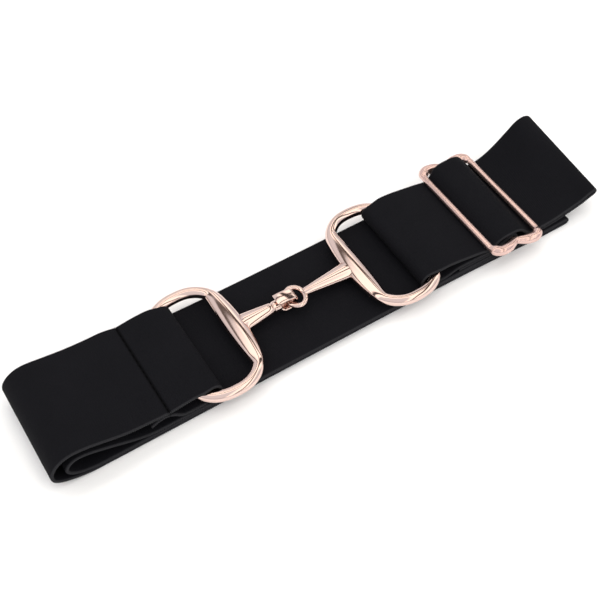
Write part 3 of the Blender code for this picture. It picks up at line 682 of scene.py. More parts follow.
# The strips fade out between these heights, so none is seen at the horizon.
STRIP_LOW, STRIP_FULL = 0.14, 0.28

# The photograph's view, as a square picture.
VIEW_AZIMUTH = math.radians(-32.154)
VIEW_ELEVATION = math.radians(53.821)
VIEW_DISTANCE = 0.47240
VIEW_LENS = 62.526
VIEW_TARGET = Vector((0.004159, 0.003478, 0.0))

# The pressed seam across the left strap, and the rows of thread that close the
# two flaps.
SEAM_DEPTH = 0.00060
SEAM_WIDTH = 0.00068
THREAD = 0.00042
STITCH_LENGTH = 0.0024
STITCH_PITCH = 0.0030
SEAM_MARGIN = 0.0016
SEAM_INSET = 0.0030

# The ribs of the selvedge, where the weft turns round the outermost cords.
RIB_PITCH = 0.00085
RIB_LENGTH = 0.00058
RIB_PROUD = 0.00012

# How the metal's meshes are laid out.
WIRE_SIDES = 40
SHARP_ANGLE = math.radians(35)


def to_scene(points):
    """Points counted from the buckle's middle, put where the frame has them."""
    return [Vector((p[0] - CENTRE_X, p[1], p[2])) for p in points]


def refined(rows):
    """More rows where the seam presses a groove into the left strap."""
    result = []
    for first, second in zip(rows, rows[1:]):
        result.append(first)
        on_top = min(first[1], second[1]) > level(5)
        place = (first[0] + second[0]) / 2
        if on_top and abs(place + LEFT_SEAM) < SEAM_ZONE:
            steps = math.ceil(math.dist(first[:2], second[:2]) / SEAM_STEP)
            for step in range(1, steps):
                share = step / steps
                result.append(tuple(a + (b - a) * share for a, b in zip(first, second)))
    result.append(rows[-1])
    return result


def groove(x, z):
    """How deep the seam presses the strap in at a place, above or below it."""
    if z < level(5):
        return 0.0
    return SEAM_DEPTH * math.exp(-(((x + LEFT_SEAM) / SEAM_WIDTH) ** 2))


def band_loop():
    """The strap's outline across: place over the width, over the thickness."""
    flat = 1.0 - BELT_THICKNESS / BELT_WIDTH
    loop = []
    steps = STRIPS_ACROSS
    for i in range(steps + 1):
        loop.append((flat * (1 - 2 * i / steps), 1.0, 0.0))
    for i in range(1, EDGE_STEPS):
        angle = math.pi * i / EDGE_STEPS
        loop.append((-flat, math.cos(angle), -math.sin(angle)))
    for i in range(steps + 1):
        loop.append((flat * (2 * i / steps - 1), -1.0, 0.0))
    for i in range(1, EDGE_STEPS):
        angle = math.pi * i / EDGE_STEPS
        loop.append((flat, -math.cos(angle), math.sin(angle)))
    return loop


class Strap:
    """The strap's rows with the directions and lengths that the pieces on it need."""

    def __init__(self):
        self.rows = refined(smooth_points(strap_rows()))
        self.run = [0.0]
        for first, second in zip(self.rows, self.rows[1:]):
            near = math.dist(first[:2], second[:2])
            far = math.dist(first[2:4], second[2:4])
            self.run.append(self.run[-1] + (near + far) / 2)

    def line(self, share):
        """The strap's middle line at a share of its width, with its direction."""
        places = [
            (r[0] * (1 - share) + r[2] * share, r[1] * (1 - share) + r[3] * share)
            for r in self.rows
        ]
        result = []
        for i, (x, z) in enumerate(places):
            before = places[max(i - 1, 0)]
            after = places[min(i + 1, len(places) - 1)]
            length = math.dist(before, after)
            result.append((x, z, (after[0] - before[0]) / length, (after[1] - before[1]) / length))
        return result


def make_band(strap):
    """The strap as one closed skin, with its length and width in its UV map."""
    loop = band_loop()
    lines = {}
    for across, over, bulge in loop:
        share = round((across + 1) / 2, 6)
        if share not in lines:
            lines[share] = strap.line(share)
    form = bmesh.new()
    maps = form.loops.layers.uv.new("UVMap")
    edge_mark = form.verts.layers.float.new("selvedge")
    # This mark says where the seam's groove gets painted shade.
    seam_shade_mark = form.verts.layers.float.new("seam_shade")
    wall = BELT_THICKNESS / 2
    rings = []
    around = []
    distance = 0.0
    for i, row in enumerate(strap.rows):
        half, shift = row[4], row[5]
        ring = []
        for across, over, bulge in loop:
            x, z, run, rise = lines[round((across + 1) / 2, 6)][i]
            y = shift + half * across + wall * bulge
            off = wall * over
            # The top layer runs to the left, so its upper side is the one with over < 0.
            if over < 0:
                off += groove(x, z)
            if over > 0:
                off -= groove(x, z) / 2
            vert = form.verts.new(Vector((x - rise * off - CENTRE_X, y, z + run * off)))
            vert[edge_mark] = min(1.0, abs(bulge) * 2)
            # Painted shade as deep as the groove, on the strap's upper side only.
            vert[seam_shade_mark] = groove(x, z) / SEAM_DEPTH if over < 0 else 0.0
            ring.append(vert)
        rings.append(ring)
    for k, (across, over, bulge) in enumerate(loop):
        around.append(distance)
        following = loop[(k + 1) % len(loop)]
        distance += math.dist(
            (across * BELT_WIDTH / 2 + bulge * wall, over * wall),
            (following[0] * BELT_WIDTH / 2 + following[2] * wall, following[1] * wall),
        )
    around.append(distance)
    count = len(loop)
    for i in range(len(rings) - 1):
        for k in range(count):
            j = (k + 1) % count
            face = form.faces.new((rings[i][k], rings[i][j], rings[i + 1][j], rings[i + 1][k]))
            face.smooth = True
            spots = ((i, k), (i, k + 1), (i + 1, k + 1), (i + 1, k))
            for corner, (row, place) in zip(face.loops, spots):
                corner[maps].uv = (strap.run[row], around[place])
    for ring, at in ((rings[0][::-1], 0.0), (rings[-1], strap.run[-1])):
        face = form.faces.new(ring)
        for corner in face.loops:
            corner[maps].uv = (at, corner.vert.co.y)
    bmesh.ops.recalc_face_normals(form, faces=form.faces)
    mesh = bpy.data.meshes.new("woven_elastic")
    form.to_mesh(mesh)
    form.free()
    return show(bpy.data.objects.new("woven_elastic", mesh))


def show(thing):
    bpy.context.scene.collection.objects.link(thing)
    return thing


def polyline(name, runs):
    """Lines for a node tree to follow, each point with the way over the strap."""
    points = []
    edges = []
    overs = []
    for run in runs:
        start = len(points)
        for point, over in run:
            points.append(point)
            overs.append(over)
        edges += [(i, i + 1) for i in range(start, len(points) - 1)]
    mesh = bpy.data.meshes.new(name)
    mesh.from_pydata(points, edges, [])
    mark = mesh.attributes.new("over", "FLOAT_VECTOR", "POINT")
    mark.data.foreach_set("vector", [value for over in overs for value in over])
    return show(bpy.data.objects.new(name, mesh))


def repeat_tree(name):
    """A tree that sets small round grains along lines, laid along each line."""
    tree = bpy.data.node_groups.new(name, "GeometryNodeTree")
    face = tree.interface
    face.new_socket("Geometry", in_out="INPUT", socket_type="NodeSocketGeometry")
    face.new_socket("Pitch", in_out="INPUT", socket_type="NodeSocketFloat")
    face.new_socket("Grain", in_out="INPUT", socket_type="NodeSocketVector")
    face.new_socket("Finish", in_out="INPUT", socket_type="NodeSocketMaterial")
    face.new_socket("Geometry", in_out="OUTPUT", socket_type="NodeSocketGeometry")
    nodes = tree.nodes
    link = tree.links.new
    given = nodes.new("NodeGroupInput")
    result = nodes.new("NodeGroupOutput")
    curve = nodes.new("GeometryNodeMeshToCurve")
    spaced = nodes.new("GeometryNodeResampleCurve")
    spaced.mode = "LENGTH"
    over = nodes.new("GeometryNodeInputNamedAttribute")
    over.data_type = "FLOAT_VECTOR"
    over.inputs["Name"].default_value = "over"
    tangent = nodes.new("GeometryNodeInputTangent")
    stand = nodes.new("FunctionNodeAlignRotationToVector")
    stand.axis = "Z"
    lie = nodes.new("FunctionNodeAlignRotationToVector")
    lie.axis = "X"
    lie.pivot_axis = "Z"
    grain = nodes.new("GeometryNodeMeshIcoSphere")
    grain.inputs["Radius"].default_value = 0.5
    grain.inputs["Subdivisions"].default_value = 2
    smooth = nodes.new("GeometryNodeSetShadeSmooth")
    copies = nodes.new("GeometryNodeInstanceOnPoints")
    real = nodes.new("GeometryNodeRealizeInstances")
    finish = nodes.new("GeometryNodeSetMaterial")
    link(given.outputs["Geometry"], curve.inputs["Mesh"])
    link(curve.outputs["Curve"], spaced.inputs["Curve"])
    link(given.outputs["Pitch"], spaced.inputs["Length"])
    link(over.outputs["Attribute"], stand.inputs["Vector"])
    link(stand.outputs["Rotation"], lie.inputs["Rotation"])
    link(tangent.outputs["Tangent"], lie.inputs["Vector"])
    link(spaced.outputs["Curve"], copies.inputs["Points"])
    link(grain.outputs["Mesh"], smooth.inputs["Geometry"])
    link(smooth.outputs["Geometry"], copies.inputs["Instance"])
    link(lie.outputs["Rotation"], copies.inputs["Rotation"])
    link(given.outputs["Grain"], copies.inputs["Scale"])
    link(copies.outputs["Instances"], real.inputs["Geometry"])
    link(real.outputs["Geometry"], finish.inputs["Geometry"])
    link(given.outputs["Finish"], finish.inputs["Material"])
    link(finish.outputs["Geometry"], result.inputs["Geometry"])
    return tree


def grown(name, lines, tree, values):
    """The mesh that a tree makes along lines, with its inputs set by their names."""
    modifier = lines.modifiers.new("grow", "NODES")
    modifier.node_group = tree
    for item in tree.interface.items_tree:
        if item.in_out == "INPUT" and item.name in values:
            modifier[item.identifier] = values[item.name]
    bpy.context.view_layer.update()
    graph = bpy.context.evaluated_depsgraph_get()
    mesh = bpy.data.meshes.new_from_object(lines.evaluated_get(graph))
    bpy.data.objects.remove(lines)
    mesh.name = name
    return show(bpy.data.objects.new(name, mesh))


def edge_runs(strap):
    """The two selvedges, with the way over the strap at each point."""
    runs = []
    for side, share in ((-1, 0.0), (1, 1.0)):
        run = []
        for row, (x, z, along, rise) in zip(strap.rows, strap.line(share)):
            y = row[5] + side * (row[4] - BELT_THICKNESS / 4 + RIB_PROUD)
            run.append((Vector((x - CENTRE_X, y, z)), Vector((-rise, 0.0, along))))
        runs.append(run)
    return runs


def seam_lines(strap):
    """Rows of thread across the strap, over and under both flaps' seams."""
    low = level(4)
    high = OVER_BOW + LEFT_TOP[-1][1] * BELT_THICKNESS
    wall = BELT_THICKNESS / 2
    flap = RIGHT_FLAP_END + SEAM_INSET
    layers = (
        (-LEFT_SEAM, high + wall - SEAM_DEPTH, 1.0),
        (-LEFT_SEAM, high - PITCH - SEAM_SLACK - wall, -1.0),
        (flap, low - wall, -1.0),
        (flap, level(5) + wall, 1.0),
    )
    inset = BELT_WIDTH / 2 - SEAM_MARGIN
    runs = []
    for place, height, facing in layers:
        ends = [Vector((place - CENTRE_X, y, height)) for y in (-inset, inset)]
        runs.append([(end, Vector((0.0, 0.0, facing))) for end in ends])
    return runs


def ring_of(centre, across, over, sides):
    return [
        centre + across * math.cos(2 * math.pi * k / sides) + over * math.sin(2 * math.pi * k / sides)
        for k in range(sides)
    ]


def skin(name, rings, closed=False):
    """A smooth skin through rings of points, open ends closed by a face."""
    form = bmesh.new()
    made = [[form.verts.new(point) for point in ring] for ring in rings]
    pairs = list(zip(made, made[1:]))
    if closed:
        pairs.append((made[-1], made[0]))
    count = len(made[0])
    for first, second in pairs:
        for k in range(count):
            j = (k + 1) % count
            form.faces.new((first[k], first[j], second[j], second[k]))
    if not closed:
        form.faces.new(made[0][::-1])
        form.faces.new(made[-1])
    bmesh.ops.recalc_face_normals(form, faces=form.faces)
    mesh = bpy.data.meshes.new(name)
    form.to_mesh(mesh)
    form.free()
    return show(bpy.data.objects.new(name, mesh))


def swept(name, points, widths, heights, closed=False):
    """A round bar along points in a level plane, with its own width and height."""
    rings = []
    count = len(points)
    for i, point in enumerate(points):
        before = points[(i - 1) % count] if closed else points[max(i - 1, 0)]
        after = points[(i + 1) % count] if closed else points[min(i + 1, count - 1)]
        ahead = (after - before).normalized()
        across = ahead.cross(Vector((0.0, 0.0, 1.0))).normalized()
        over = across.cross(ahead)
        rings.append(ring_of(point, across * widths[i], over * heights[i], WIRE_SIDES))
    return skin(name, rings, closed)


def cheek_swell(y):
    """How full the cheek bar is at a distance along it, from 0 at its ends."""
    share = min(1.0, abs(y) / CHEEK_HALF_LENGTH)
    return (1.0 - share * share) ** CHEEK_FULLNESS


def eased_corner(before, start, end, after):
    """Points between two runs, leaving and meeting them in their own directions."""
    span = math.dist(start, end)
    leave = (Vector(start) - Vector(before)).normalized() * span
    meet = (Vector(after) - Vector(end)).normalized() * span
    points = []
    for i in range(1, BLEND_STEPS):
        t = i / BLEND_STEPS
        spot = Vector(start) * (2 * t ** 3 - 3 * t ** 2 + 1) + leave * (t ** 3 - 2 * t ** 2 + t)
        spot += Vector(end) * (3 * t ** 2 - 2 * t ** 3) + meet * (t ** 3 - t ** 2)
        points.append(tuple(spot))
    return points


def frame_line(side):
    """The closed line through the cheek bar and round the bow."""
    line = []
    for i in range(CHEEK_STEPS + 1):
        y = CHEEK_BLEND_START * (2 * i / CHEEK_STEPS - 1)
        share = y / CHEEK_HALF_LENGTH
        line.append((CHEEK_PLACE + CHEEK_END_SETBACK * share * share, y))
    last_y = BOW_HALF * math.sin(BOW_BLEND_ANGLE) ** (2 / BOW_ROUNDNESS_IN)
    bow = [(side * x, y) for x, y, z in bow_points(side)]
    bow = [spot for spot in bow if abs(spot[1]) > last_y or spot[0] > BOW_WIDEST]
    corner = eased_corner(line[-2], line[-1], bow[0], bow[1])
    back = [(x, -y) for x, y in corner[::-1]]
    whole = line + corner + bow + back
    return [(side * x, y, BOW_HEIGHT) for x, y in whole]


def frame_piece(side):
    """Bow and swollen cheek bar as one smooth closed bar."""
    points = frame_line(side)
    wire = BOW_WIRE / 2
    widths = []
    heights = []
    for x, y, z in points:
        swell = cheek_swell(y) if abs(x) < BOW_WIDEST else 0.0
        widths.append(wire + (CHEEK_WIDTH / 2 - wire) * swell)
        heights.append(wire + (CHEEK_HEIGHT / 2 - wire) * swell)
    return swept("frame", to_scene(points), widths, heights, closed=True)


def mouth_bar(rows, lean):
    """An oval bar along the buckle: rows of place, half width and half height."""
    tilt = Matrix.Rotation(lean, 3, "Y")
    rings = []
    for x, width, height in rows:
        centre = Vector((x, 0.0, 0.0))
        ring = ring_of(centre, Vector((0.0, width, 0.0)), Vector((0.0, 0.0, height)), WIRE_SIDES)
        rings.append([tilt @ p + Vector((-CENTRE_X, 0.0, BOW_HEIGHT)) for p in ring])
    return skin("mouth", rings)


def round_rows(profile):
    """Rows of a round stretch of a mouthpiece, from its places and radii."""
    return [(x, radius, radius) for x, radius in profile]


def rounded_band(half_width, half_wall, steps=5):
    """Outline of a flat band with round edges, as places across and over it."""
    flat = half_width - half_wall
    loop = []
    for start, place in ((0.0, flat), (math.pi, -flat)):
        for i in range(steps + 1):
            angle = start - math.pi / 2 + math.pi * i / steps
            loop.append((place + half_wall * math.cos(angle), half_wall * math.sin(angle)))
    return loop


def hook_piece():
    path = smooth_line(hook_path(), 6)
    rings = []
    for i, (x, z) in enumerate(path):
        before = path[max(i - 1, 0)]
        after = path[min(i + 1, len(path) - 1)]
        length = math.dist(before, after)
        run = (after[0] - before[0]) / length
        rise = (after[1] - before[1]) / length
        wide = min(1.0, max(0.0, (x + HOOK_MOUTH_TIP - COLLAR_LENGTH) / COLLAR_RECESS))
        if i > len(path) / 2:
            wide = 1.0
        width = (COLLAR_WIDTH / 2 - COLLAR_WALL) * (1 - wide) + HOOK_WIDTH / 2 * wide
        left = len(path) - 1 - i
        thin = 1.0
        if left < TONGUE_ROUND_STEPS:
            thin = math.sin(math.pi / 2 * (left + 0.6) / TONGUE_ROUND_STEPS)
        ring = []
        for across, over in rounded_band(width, HOOK_THICKNESS / 2 * thin):
            ring.append(Vector((x - rise * over - CENTRE_X, across, z + run * over)))
        rings.append(ring)
    return skin("hook", rings)


def smooth_line(points, steps):
    """A finer run of points on a smooth curve through the given ones."""
    result = []
    for i in range(len(points) - 1):
        p0 = Vector(points[max(i - 1, 0)])
        p1 = Vector(points[i])
        p2 = Vector(points[i + 1])
        p3 = Vector(points[min(i + 2, len(points) - 1)])
        for step in range(steps):
            t = step / steps
            spot = p1 * 2 + (p2 - p0) * t
            spot += (p0 * 2 - p1 * 5 + p2 * 4 - p3) * t ** 2
            spot += (p1 * 3 - p0 - p2 * 3 + p3) * t ** 3
            result.append(tuple(spot / 2))
    result.append(tuple(points[-1]))
    return result


def fused(name, pieces):
    """One casting from overlapping forms."""
    base = pieces[0]
    for piece in pieces[1:]:
        union = base.modifiers.new("union", "BOOLEAN")
        union.operation = "UNION"
        union.solver = "EXACT"
        union.object = piece
    bpy.context.view_layer.update()
    graph = bpy.context.evaluated_depsgraph_get()
    mesh = bpy.data.meshes.new_from_object(base.evaluated_get(graph))
    for piece in pieces:
        bpy.data.objects.remove(piece)
    mesh.name = name
    mesh.shade_smooth()
    mesh.set_sharp_from_angle(angle=SHARP_ANGLE)
    return show(bpy.data.objects.new(name, mesh))


def mouth_root(end):
    """The thick end of a mouthpiece, from inside its cheek bar to a place on it."""
    rows = []
    for along, share in MOUTH_ROOT:
        place = CHEEK_PLACE - CHEEK_WIDTH / 2 * along
        rows.append((place, MOUTH_ROOT_WIDTH / 2 * share, MOUTH_ROOT_HEIGHT / 2 * share))
    place, radius = end
    return smooth_line(rows + [(place, radius, radius)], ROOT_STEPS)


def make_hook_half():
    tip = -HOOK_MOUTH_TIP
    full = HOOK_MOUTH_TIP_WIDTH / 2
    neck = full - COLLAR_NECK_DEPTH
    lip = tip + COLLAR_LENGTH
    root = mouth_root((HOOK_MOUTH_TIP + COLLAR_NECK_DEPTH, full))
    root = [(-place, width, height) for place, width, height in root]
    mouth = mouth_bar(root + round_rows([
        (tip, full - COLLAR_NECK_DEPTH / 3),
        (tip + COLLAR_NECK_DEPTH, neck),
        (tip + COLLAR_NECK_LENGTH, neck),
        (tip + COLLAR_NECK_LENGTH * 1.5, full),
        (tip + COLLAR_NECK_LENGTH * 2.5, full),
        (lip - COLLAR_WALL / 3, COLLAR_WIDTH / 2),
        (lip, COLLAR_WIDTH / 2 - COLLAR_WALL / 3),
        (lip, COLLAR_WIDTH / 2 - COLLAR_WALL),
        (lip - COLLAR_RECESS, COLLAR_WIDTH / 2 - COLLAR_WALL * 2),
    ]), MOUTH_LEAN)
    return fused("hook_half_casting", [frame_piece(-1), mouth, hook_piece()])


def make_ring_half():
    start = RING_CENTRE + RING_HALF_LENGTH
    root = mouth_root((start + RING_WIRE / 2, RING_MOUTH_TIP_WIDTH / 2))
    mouth = mouth_bar(round_rows([
        (start, RING_MOUTH_TIP_WIDTH / 2 * CHEEK_END_SHARE),
    ]) + root[::-1], -MOUTH_LEAN)
    points = []
    for i in range(RING_POINTS):
        angle = 2 * math.pi * i / RING_POINTS
        x = RING_CENTRE + RING_HALF_LENGTH * math.cos(angle)
        points.append((x, RING_HALF_WIDTH * math.sin(angle), BOW_HEIGHT))
    thick = [RING_WIRE / 2] * RING_POINTS
    ring = swept("ring", to_scene(points), thick, thick, closed=True)
    return fused("ring_half_casting", [frame_piece(1), mouth, ring])


def slider_lobe(side):
    corner = SLIDER_LOBE_CORNER
    reach = BELT_WIDTH / 2 + SLIDER_END_ROOM
    span = SLIDER_SPAN / 2
    lobe = SLIDER_LOBE_WIRE / 2
    thin = SLIDER_BAR / 2
    run = []
    waist = smooth_line([(-a, d) for a, d in LOBE_WAIST[:0:-1]] + list(LOBE_WAIST) + [(1.0, 0.0)], 6)
    for along, dip in waist:
        if along >= 0 and along < 0.97:
            dip = max(0.0, dip)
            radius = lobe - (lobe - SLIDER_WAIST_WIRE / 2) * dip
            run.append(((span - corner) * along, reach - SLIDER_WAIST * dip, radius))
    for i in range(CORNER_STEPS + 1):
        angle = math.pi / 2 * (1 - i / CORNER_STEPS)
        u = span - corner + corner * math.cos(angle)
        v = reach - corner + corner * math.sin(angle)
        swell = min(1.0, max(0.0, (v - BELT_WIDTH / 2 - FIT_GAP) / SLIDER_SHOULDER))
        swell = swell * swell * (3 - 2 * swell)
        run.append((u, v, thin + (lobe - thin) * swell))
    run.append((span, 0.0, thin))
    whole = run + [(u, -v, radius) for u, v, radius in run[-2::-1]]
    points = to_scene([slider_point(side * u, v) for u, v, radius in whole])
    thick = [radius for u, v, radius in whole]
    return swept("lobe", points, thick, thick)


def make_slider():
    reach = BELT_WIDTH / 2 + SLIDER_END_ROOM - SLIDER_WAIST
    inner = BELT_WIDTH / 2 + FIT_GAP
    points = []
    for place in (reach, inner, -inner, -reach):
        x, y, z = slider_point(0.0, place)
        points.append((x, y, MIDDLE_BAR[1] if abs(place) < reach else z))
    thick = [SLIDER_MIDDLE_BAR / 2] * len(points)
    middle = swept("middle_bar", to_scene(points), thick, thick)
    return fused("slide_adjuster_frame", [slider_lobe(-1), slider_lobe(1), middle])


def new_material(name):
    material = bpy.data.materials.new(name)
    material.use_nodes = True
    return material, material.node_tree.nodes, material.node_tree.links.new


def added(nodes, kind, values=None):
    """A new shader node, with the inputs that are named set to their values."""
    made = nodes.new("ShaderNode" + kind)
    for title, value in (values or {}).items():
        made.inputs[title].default_value = value
    return made


def blended(nodes, link, share, first, second):
    """A colour between two others, each a fixed colour or another node's output."""
    mixed = nodes.new("ShaderNodeMix")
    mixed.data_type = "RGBA"
    link(share, mixed.inputs[0])
    for place, colour in ((6, first), (7, second)):
        if isinstance(colour, bpy.types.NodeSocket):
            link(colour, mixed.inputs[place])
        else:
            mixed.inputs[place].default_value = (*colour, 1.0)
    return mixed.outputs[2]


def eased(nodes, link, value, low, high):
    """A share that rises softly from 0 at one value to 1 at the other."""
    ramp = added(nodes, "MapRange", {"From Min": low, "From Max": high})
    ramp.interpolation_type = "SMOOTHSTEP"
    link(value, ramp.inputs["Value"])
    return ramp.outputs["Result"]


def noise(nodes, link, where, values):
    made = added(nodes, "TexNoise", values)
    link(where, made.inputs["Vector"])
    return made.outputs["Fac"]


def bumped(nodes, link, height, strength, distance, under=None):
    """The normal of a surface that a height lifts, over another bump if one is given."""
    bump = added(nodes, "Bump", {"Strength": strength, "Distance": distance})
    link(height, bump.inputs["Height"])
    if under:
        link(under, bump.inputs["Normal"])
    return bump.outputs["Normal"]


def marked(nodes, name):
    """A mark that the mesh carries at its points."""
    mark = nodes.new("ShaderNodeAttribute")
    mark.attribute_name = name
    return mark.outputs["Fac"]


def woven_black():
    """Matt black elastic: fine ribs across, and a paler ribbed selvedge."""
    material, nodes, link = new_material("black_woven_elastic")
    shader = nodes["Principled BSDF"]
    shader.inputs["Roughness"].default_value = 0.85
    place = nodes.new("ShaderNodeUVMap")
    place.uv_map = "UVMap"
    where = place.outputs["UV"]
    ribs = added(nodes, "TexWave", {"Scale": 320.0, "Distortion": 0.6, "Detail": 1.0})
    ribs.bands_direction = "X"
    cords = added(nodes, "TexWave", {"Scale": 260.0, "Distortion": 0.4})
    cords.bands_direction = "Y"
    link(where, ribs.inputs["Vector"])
    link(where, cords.inputs["Vector"])
    weave = nodes.new("ShaderNodeMath")
    weave.operation = "MULTIPLY_ADD"
    weave.inputs[1].default_value = 0.6
    link(cords.outputs["Fac"], weave.inputs[0])
    link(ribs.outputs["Fac"], weave.inputs[2])
    fuzz = noise(nodes, link, where, {"Scale": 900.0, "Detail": 3.0})
    coarse = bumped(nodes, link, weave.outputs["Value"], 0.24, 0.00012)
    link(bumped(nodes, link, fuzz, 0.25, 0.00008, coarse), shader.inputs["Normal"])
    tone = noise(nodes, link, where, {"Scale": 60.0, "Detail": 2.0})
    # Painted shade in the seam's groove: darker colour and less gloss where the mark is.
    seam_shade = marked(nodes, "seam_shade")
    colour = blended(nodes, link, tone, ELASTIC_DARK, ELASTIC_PALE)
    colour = blended(nodes, link, marked(nodes, "selvedge"), colour, SELVEDGE_TONE)
    colour = blended(nodes, link, seam_shade, colour, SEAM_SHADE_TONE)
    link(colour, shader.inputs["Base Color"])
    duller = added(nodes, "MapRange", {"To Min": ELASTIC_GLOSS, "To Max": SEAM_SHADE_GLOSS})
    link(seam_shade, duller.inputs["Value"])
    link(duller.outputs["Result"], shader.inputs["Specular IOR Level"])
    return material


def thread_black(name, colour, gloss):
    """Twisted black thread."""
    material, nodes, link = new_material(name)
    shader = nodes["Principled BSDF"]
    shader.inputs["Base Color"].default_value = (*colour, 1.0)
    shader.inputs["Roughness"].default_value = 0.7
    shader.inputs["Specular IOR Level"].default_value = gloss
    where = nodes.new("ShaderNodeTexCoord").outputs["Object"]
    twist = noise(nodes, link, where, {"Scale": 2500.0})
    link(bumped(nodes, link, twist, 0.4, 0.00006), shader.inputs["Normal"])
    return material


def plated(name, pale, deep, low, high, wave, metal):
    """Rose gold plating: a slight change of tone, faint polishing marks and ripple."""
    material, nodes, link = new_material(name)
    shader = nodes["Principled BSDF"]
    shader.inputs["Metallic"].default_value = metal
    where = nodes.new("ShaderNodeTexCoord").outputs["Object"]
    tone = noise(nodes, link, where, {"Scale": 70.0, "Detail": 3.0})
    link(blended(nodes, link, tone, deep, pale), shader.inputs["Base Color"])
    marks = noise(nodes, link, where, {"Scale": 900.0, "Detail": 4.0})
    spread = added(nodes, "MapRange", {"To Min": low, "To Max": high})
    link(marks, spread.inputs["Value"])
    link(spread.outputs["Result"], shader.inputs["Roughness"])
    ripple = noise(nodes, link, where, {"Scale": 260.0})
    link(bumped(nodes, link, ripple, wave, 0.00005), shader.inputs["Normal"])
    return material


def dress(thing, material, slot, *nodes):
    """A finished piece takes its material, rides on the belt and stands for nodes."""
    thing.data.materials.clear()
    thing.data.materials.append(material)
    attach(thing, "root")
    if nodes:
        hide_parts(*nodes)
    return thing


def make_floor():
    bpy.ops.mesh.primitive_plane_add(size=FLOOR_SIZE, location=(0.0, 0.0, -FLOOR_DROP))
    floor = bpy.context.object
    floor.name = "pale_floor"
    material, nodes, link = new_material("pale_paper")
    shader = nodes["Principled BSDF"]
    shader.inputs["Roughness"].default_value = 0.9
    shader.inputs["Specular IOR Level"].default_value = 0.1
    where = nodes.new("ShaderNodeTexCoord").outputs["Object"]
    grain = noise(nodes, link, where, {"Scale": 40.0})
    link(blended(nodes, link, grain, *FLOOR_TONES), shader.inputs["Base Color"])
    floor.data.materials.append(material)


def soft_light(name, place, size, power, tint):
    """A broad lamp aimed at the belt, which the metal doesn't mirror."""
    lamp = bpy.data.lights.new(name, "AREA")
    lamp.shape = "RECTANGLE"
    lamp.size, lamp.size_y = size
    lamp.energy = power
    lamp.color = tint
    thing = show(bpy.data.objects.new(name, lamp))
    thing.location = place
    thing.rotation_euler = (-Vector(place)).to_track_quat("-Z", "Y").to_euler()
    thing.visible_glossy = False


def dome(nodes, link, height):
    """The walls' colour at a direction's height."""
    walls = nodes.new("ShaderNodeValToRGB")
    stops = walls.color_ramp.elements
    for stop, (spot, colour) in zip(stops, (DOME_BANDS[0], DOME_BANDS[-1])):
        stop.position = spot
        stop.color = (*colour, 1.0)
    for spot, colour in DOME_BANDS[1:-1]:
        stops.new(spot).color = (*colour, 1.0)
    link(height, walls.inputs["Fac"])
    return walls.outputs["Color"]


def strip_share(nodes, link, place, split, axis, half_width, edge, reach):
    """How much of a direction's colour a strip takes."""
    aside = nodes.new("ShaderNodeVectorMath")
    aside.operation = "DOT_PRODUCT"
    aside.inputs[1].default_value = Vector(axis).normalized()
    link(place, aside.inputs[0])
    off = nodes.new("ShaderNodeMath")
    off.operation = "ABSOLUTE"
    link(aside.outputs["Value"], off.inputs[0])
    outer = math.sin(math.radians(half_width + edge))
    inner = math.sin(math.radians(half_width))
    both = nodes.new("ShaderNodeMath")
    both.operation = "MULTIPLY"
    link(eased(nodes, link, off.outputs["Value"], outer, inner), both.inputs[0])
    link(eased(nodes, link, split.outputs["Y"], reach + STRIP_END, reach), both.inputs[1])
    return both.outputs["Value"]


def studio_walls(nodes, link):
    """What the metal mirrors: pale walls, a warm glow overhead and dark gaps."""
    place = nodes.new("ShaderNodeTexCoord").outputs["Generated"]
    split = nodes.new("ShaderNodeSeparateXYZ")
    link(place, split.inputs["Vector"])
    walls = dome(nodes, link, split.outputs["Z"])
    colour = walls
    for axis, half_width, edge, reach, shade in STUDIO_STRIPS:
        share = strip_share(nodes, link, place, split, axis, half_width, edge, reach)
        colour = blended(nodes, link, share, colour, shade)
    raised = eased(nodes, link, split.outputs["Z"], STRIP_LOW, STRIP_FULL)
    return blended(nodes, link, raised, walls, colour)


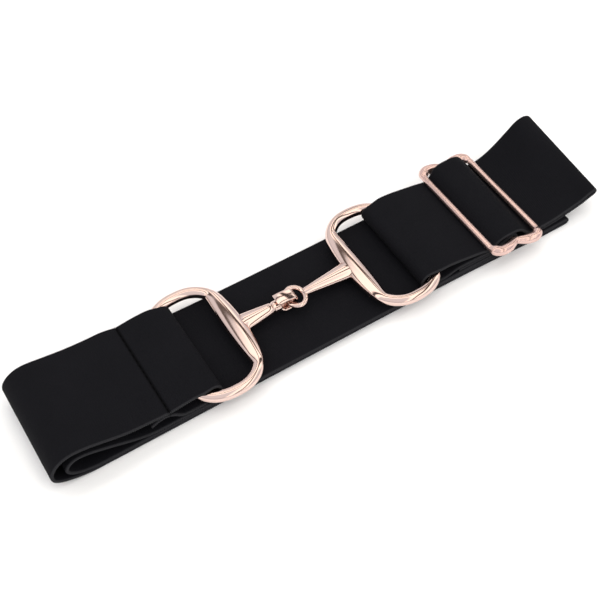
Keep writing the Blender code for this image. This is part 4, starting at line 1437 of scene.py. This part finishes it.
def make_light():
    """A soft tent round the belt, with one broad window and a low fill."""
    world = bpy.data.worlds.new("soft_studio")
    bpy.context.scene.world = world
    world.use_nodes = True
    sky = world.node_tree.nodes["Background"]
    sky.inputs["Strength"].default_value = WORLD_STRENGTH
    walls = studio_walls(world.node_tree.nodes, world.node_tree.links.new)
    world.node_tree.links.new(walls, sky.inputs["Color"])
    for name, (place, size, power, tint) in LAMPS.items():
        soft_light(name, place, size, power, tint)


def make_camera():
    lens = bpy.data.cameras.new("camera")
    lens.sensor_width = 36.0
    lens.lens = VIEW_LENS
    lens.clip_start = 0.01
    thing = show(bpy.data.objects.new("camera", lens))
    back = Vector((
        math.sin(VIEW_AZIMUTH) * math.cos(VIEW_ELEVATION),
        -math.cos(VIEW_AZIMUTH) * math.cos(VIEW_ELEVATION),
        math.sin(VIEW_ELEVATION),
    ))
    right = Vector((math.cos(VIEW_AZIMUTH), math.sin(VIEW_AZIMUTH), 0.0))
    turned = Matrix((right, back.cross(right), back)).transposed().to_4x4()
    turned.translation = VIEW_TARGET - Vector((CENTRE_X, 0.0, 0.0)) + back * VIEW_DISTANCE
    thing.matrix_world = turned
    bpy.context.scene.camera = thing


def main():
    strap = Strap()
    elastic = woven_black()
    selvedge = thread_black("black_selvedge_yarn", *SELVEDGE_YARN)
    thread = thread_black("black_thread", *SEAM_THREAD)
    polished = plated("polished_rose_gold", *POLISHED)
    satin = plated("satin_rose_gold", *SATIN)

    band = dress(make_band(strap), elastic, "elastic", "elastic_band")
    grains = repeat_tree("grains_along_lines")
    ribs = grown("selvedge_ribs", polyline("rib_lines", edge_runs(strap)), grains, {
        "Pitch": RIB_PITCH,
        "Grain": Vector((RIB_LENGTH, BELT_THICKNESS / 2, BELT_THICKNESS * 0.94)),
        "Finish": selvedge,
    })
    dress(ribs, selvedge, "elastic")
    stitches = grown("flap_stitches", polyline("seam_lines", seam_lines(strap)), grains, {
        "Pitch": STITCH_PITCH,
        "Grain": Vector((STITCH_LENGTH, THREAD, THREAD)),
        "Finish": thread,
    })
    dress(stitches, thread, "elastic")
    dress(make_hook_half(), polished, "buckle_metal", "hook_half")
    dress(make_ring_half(), polished, "buckle_metal", "ring_half")
    dress(make_slider(), satin, "adjuster_metal", "slide_adjuster")
    make_floor()
    make_light()
    make_camera()
    bpy.context.scene.view_settings.view_transform = "Standard"


main()
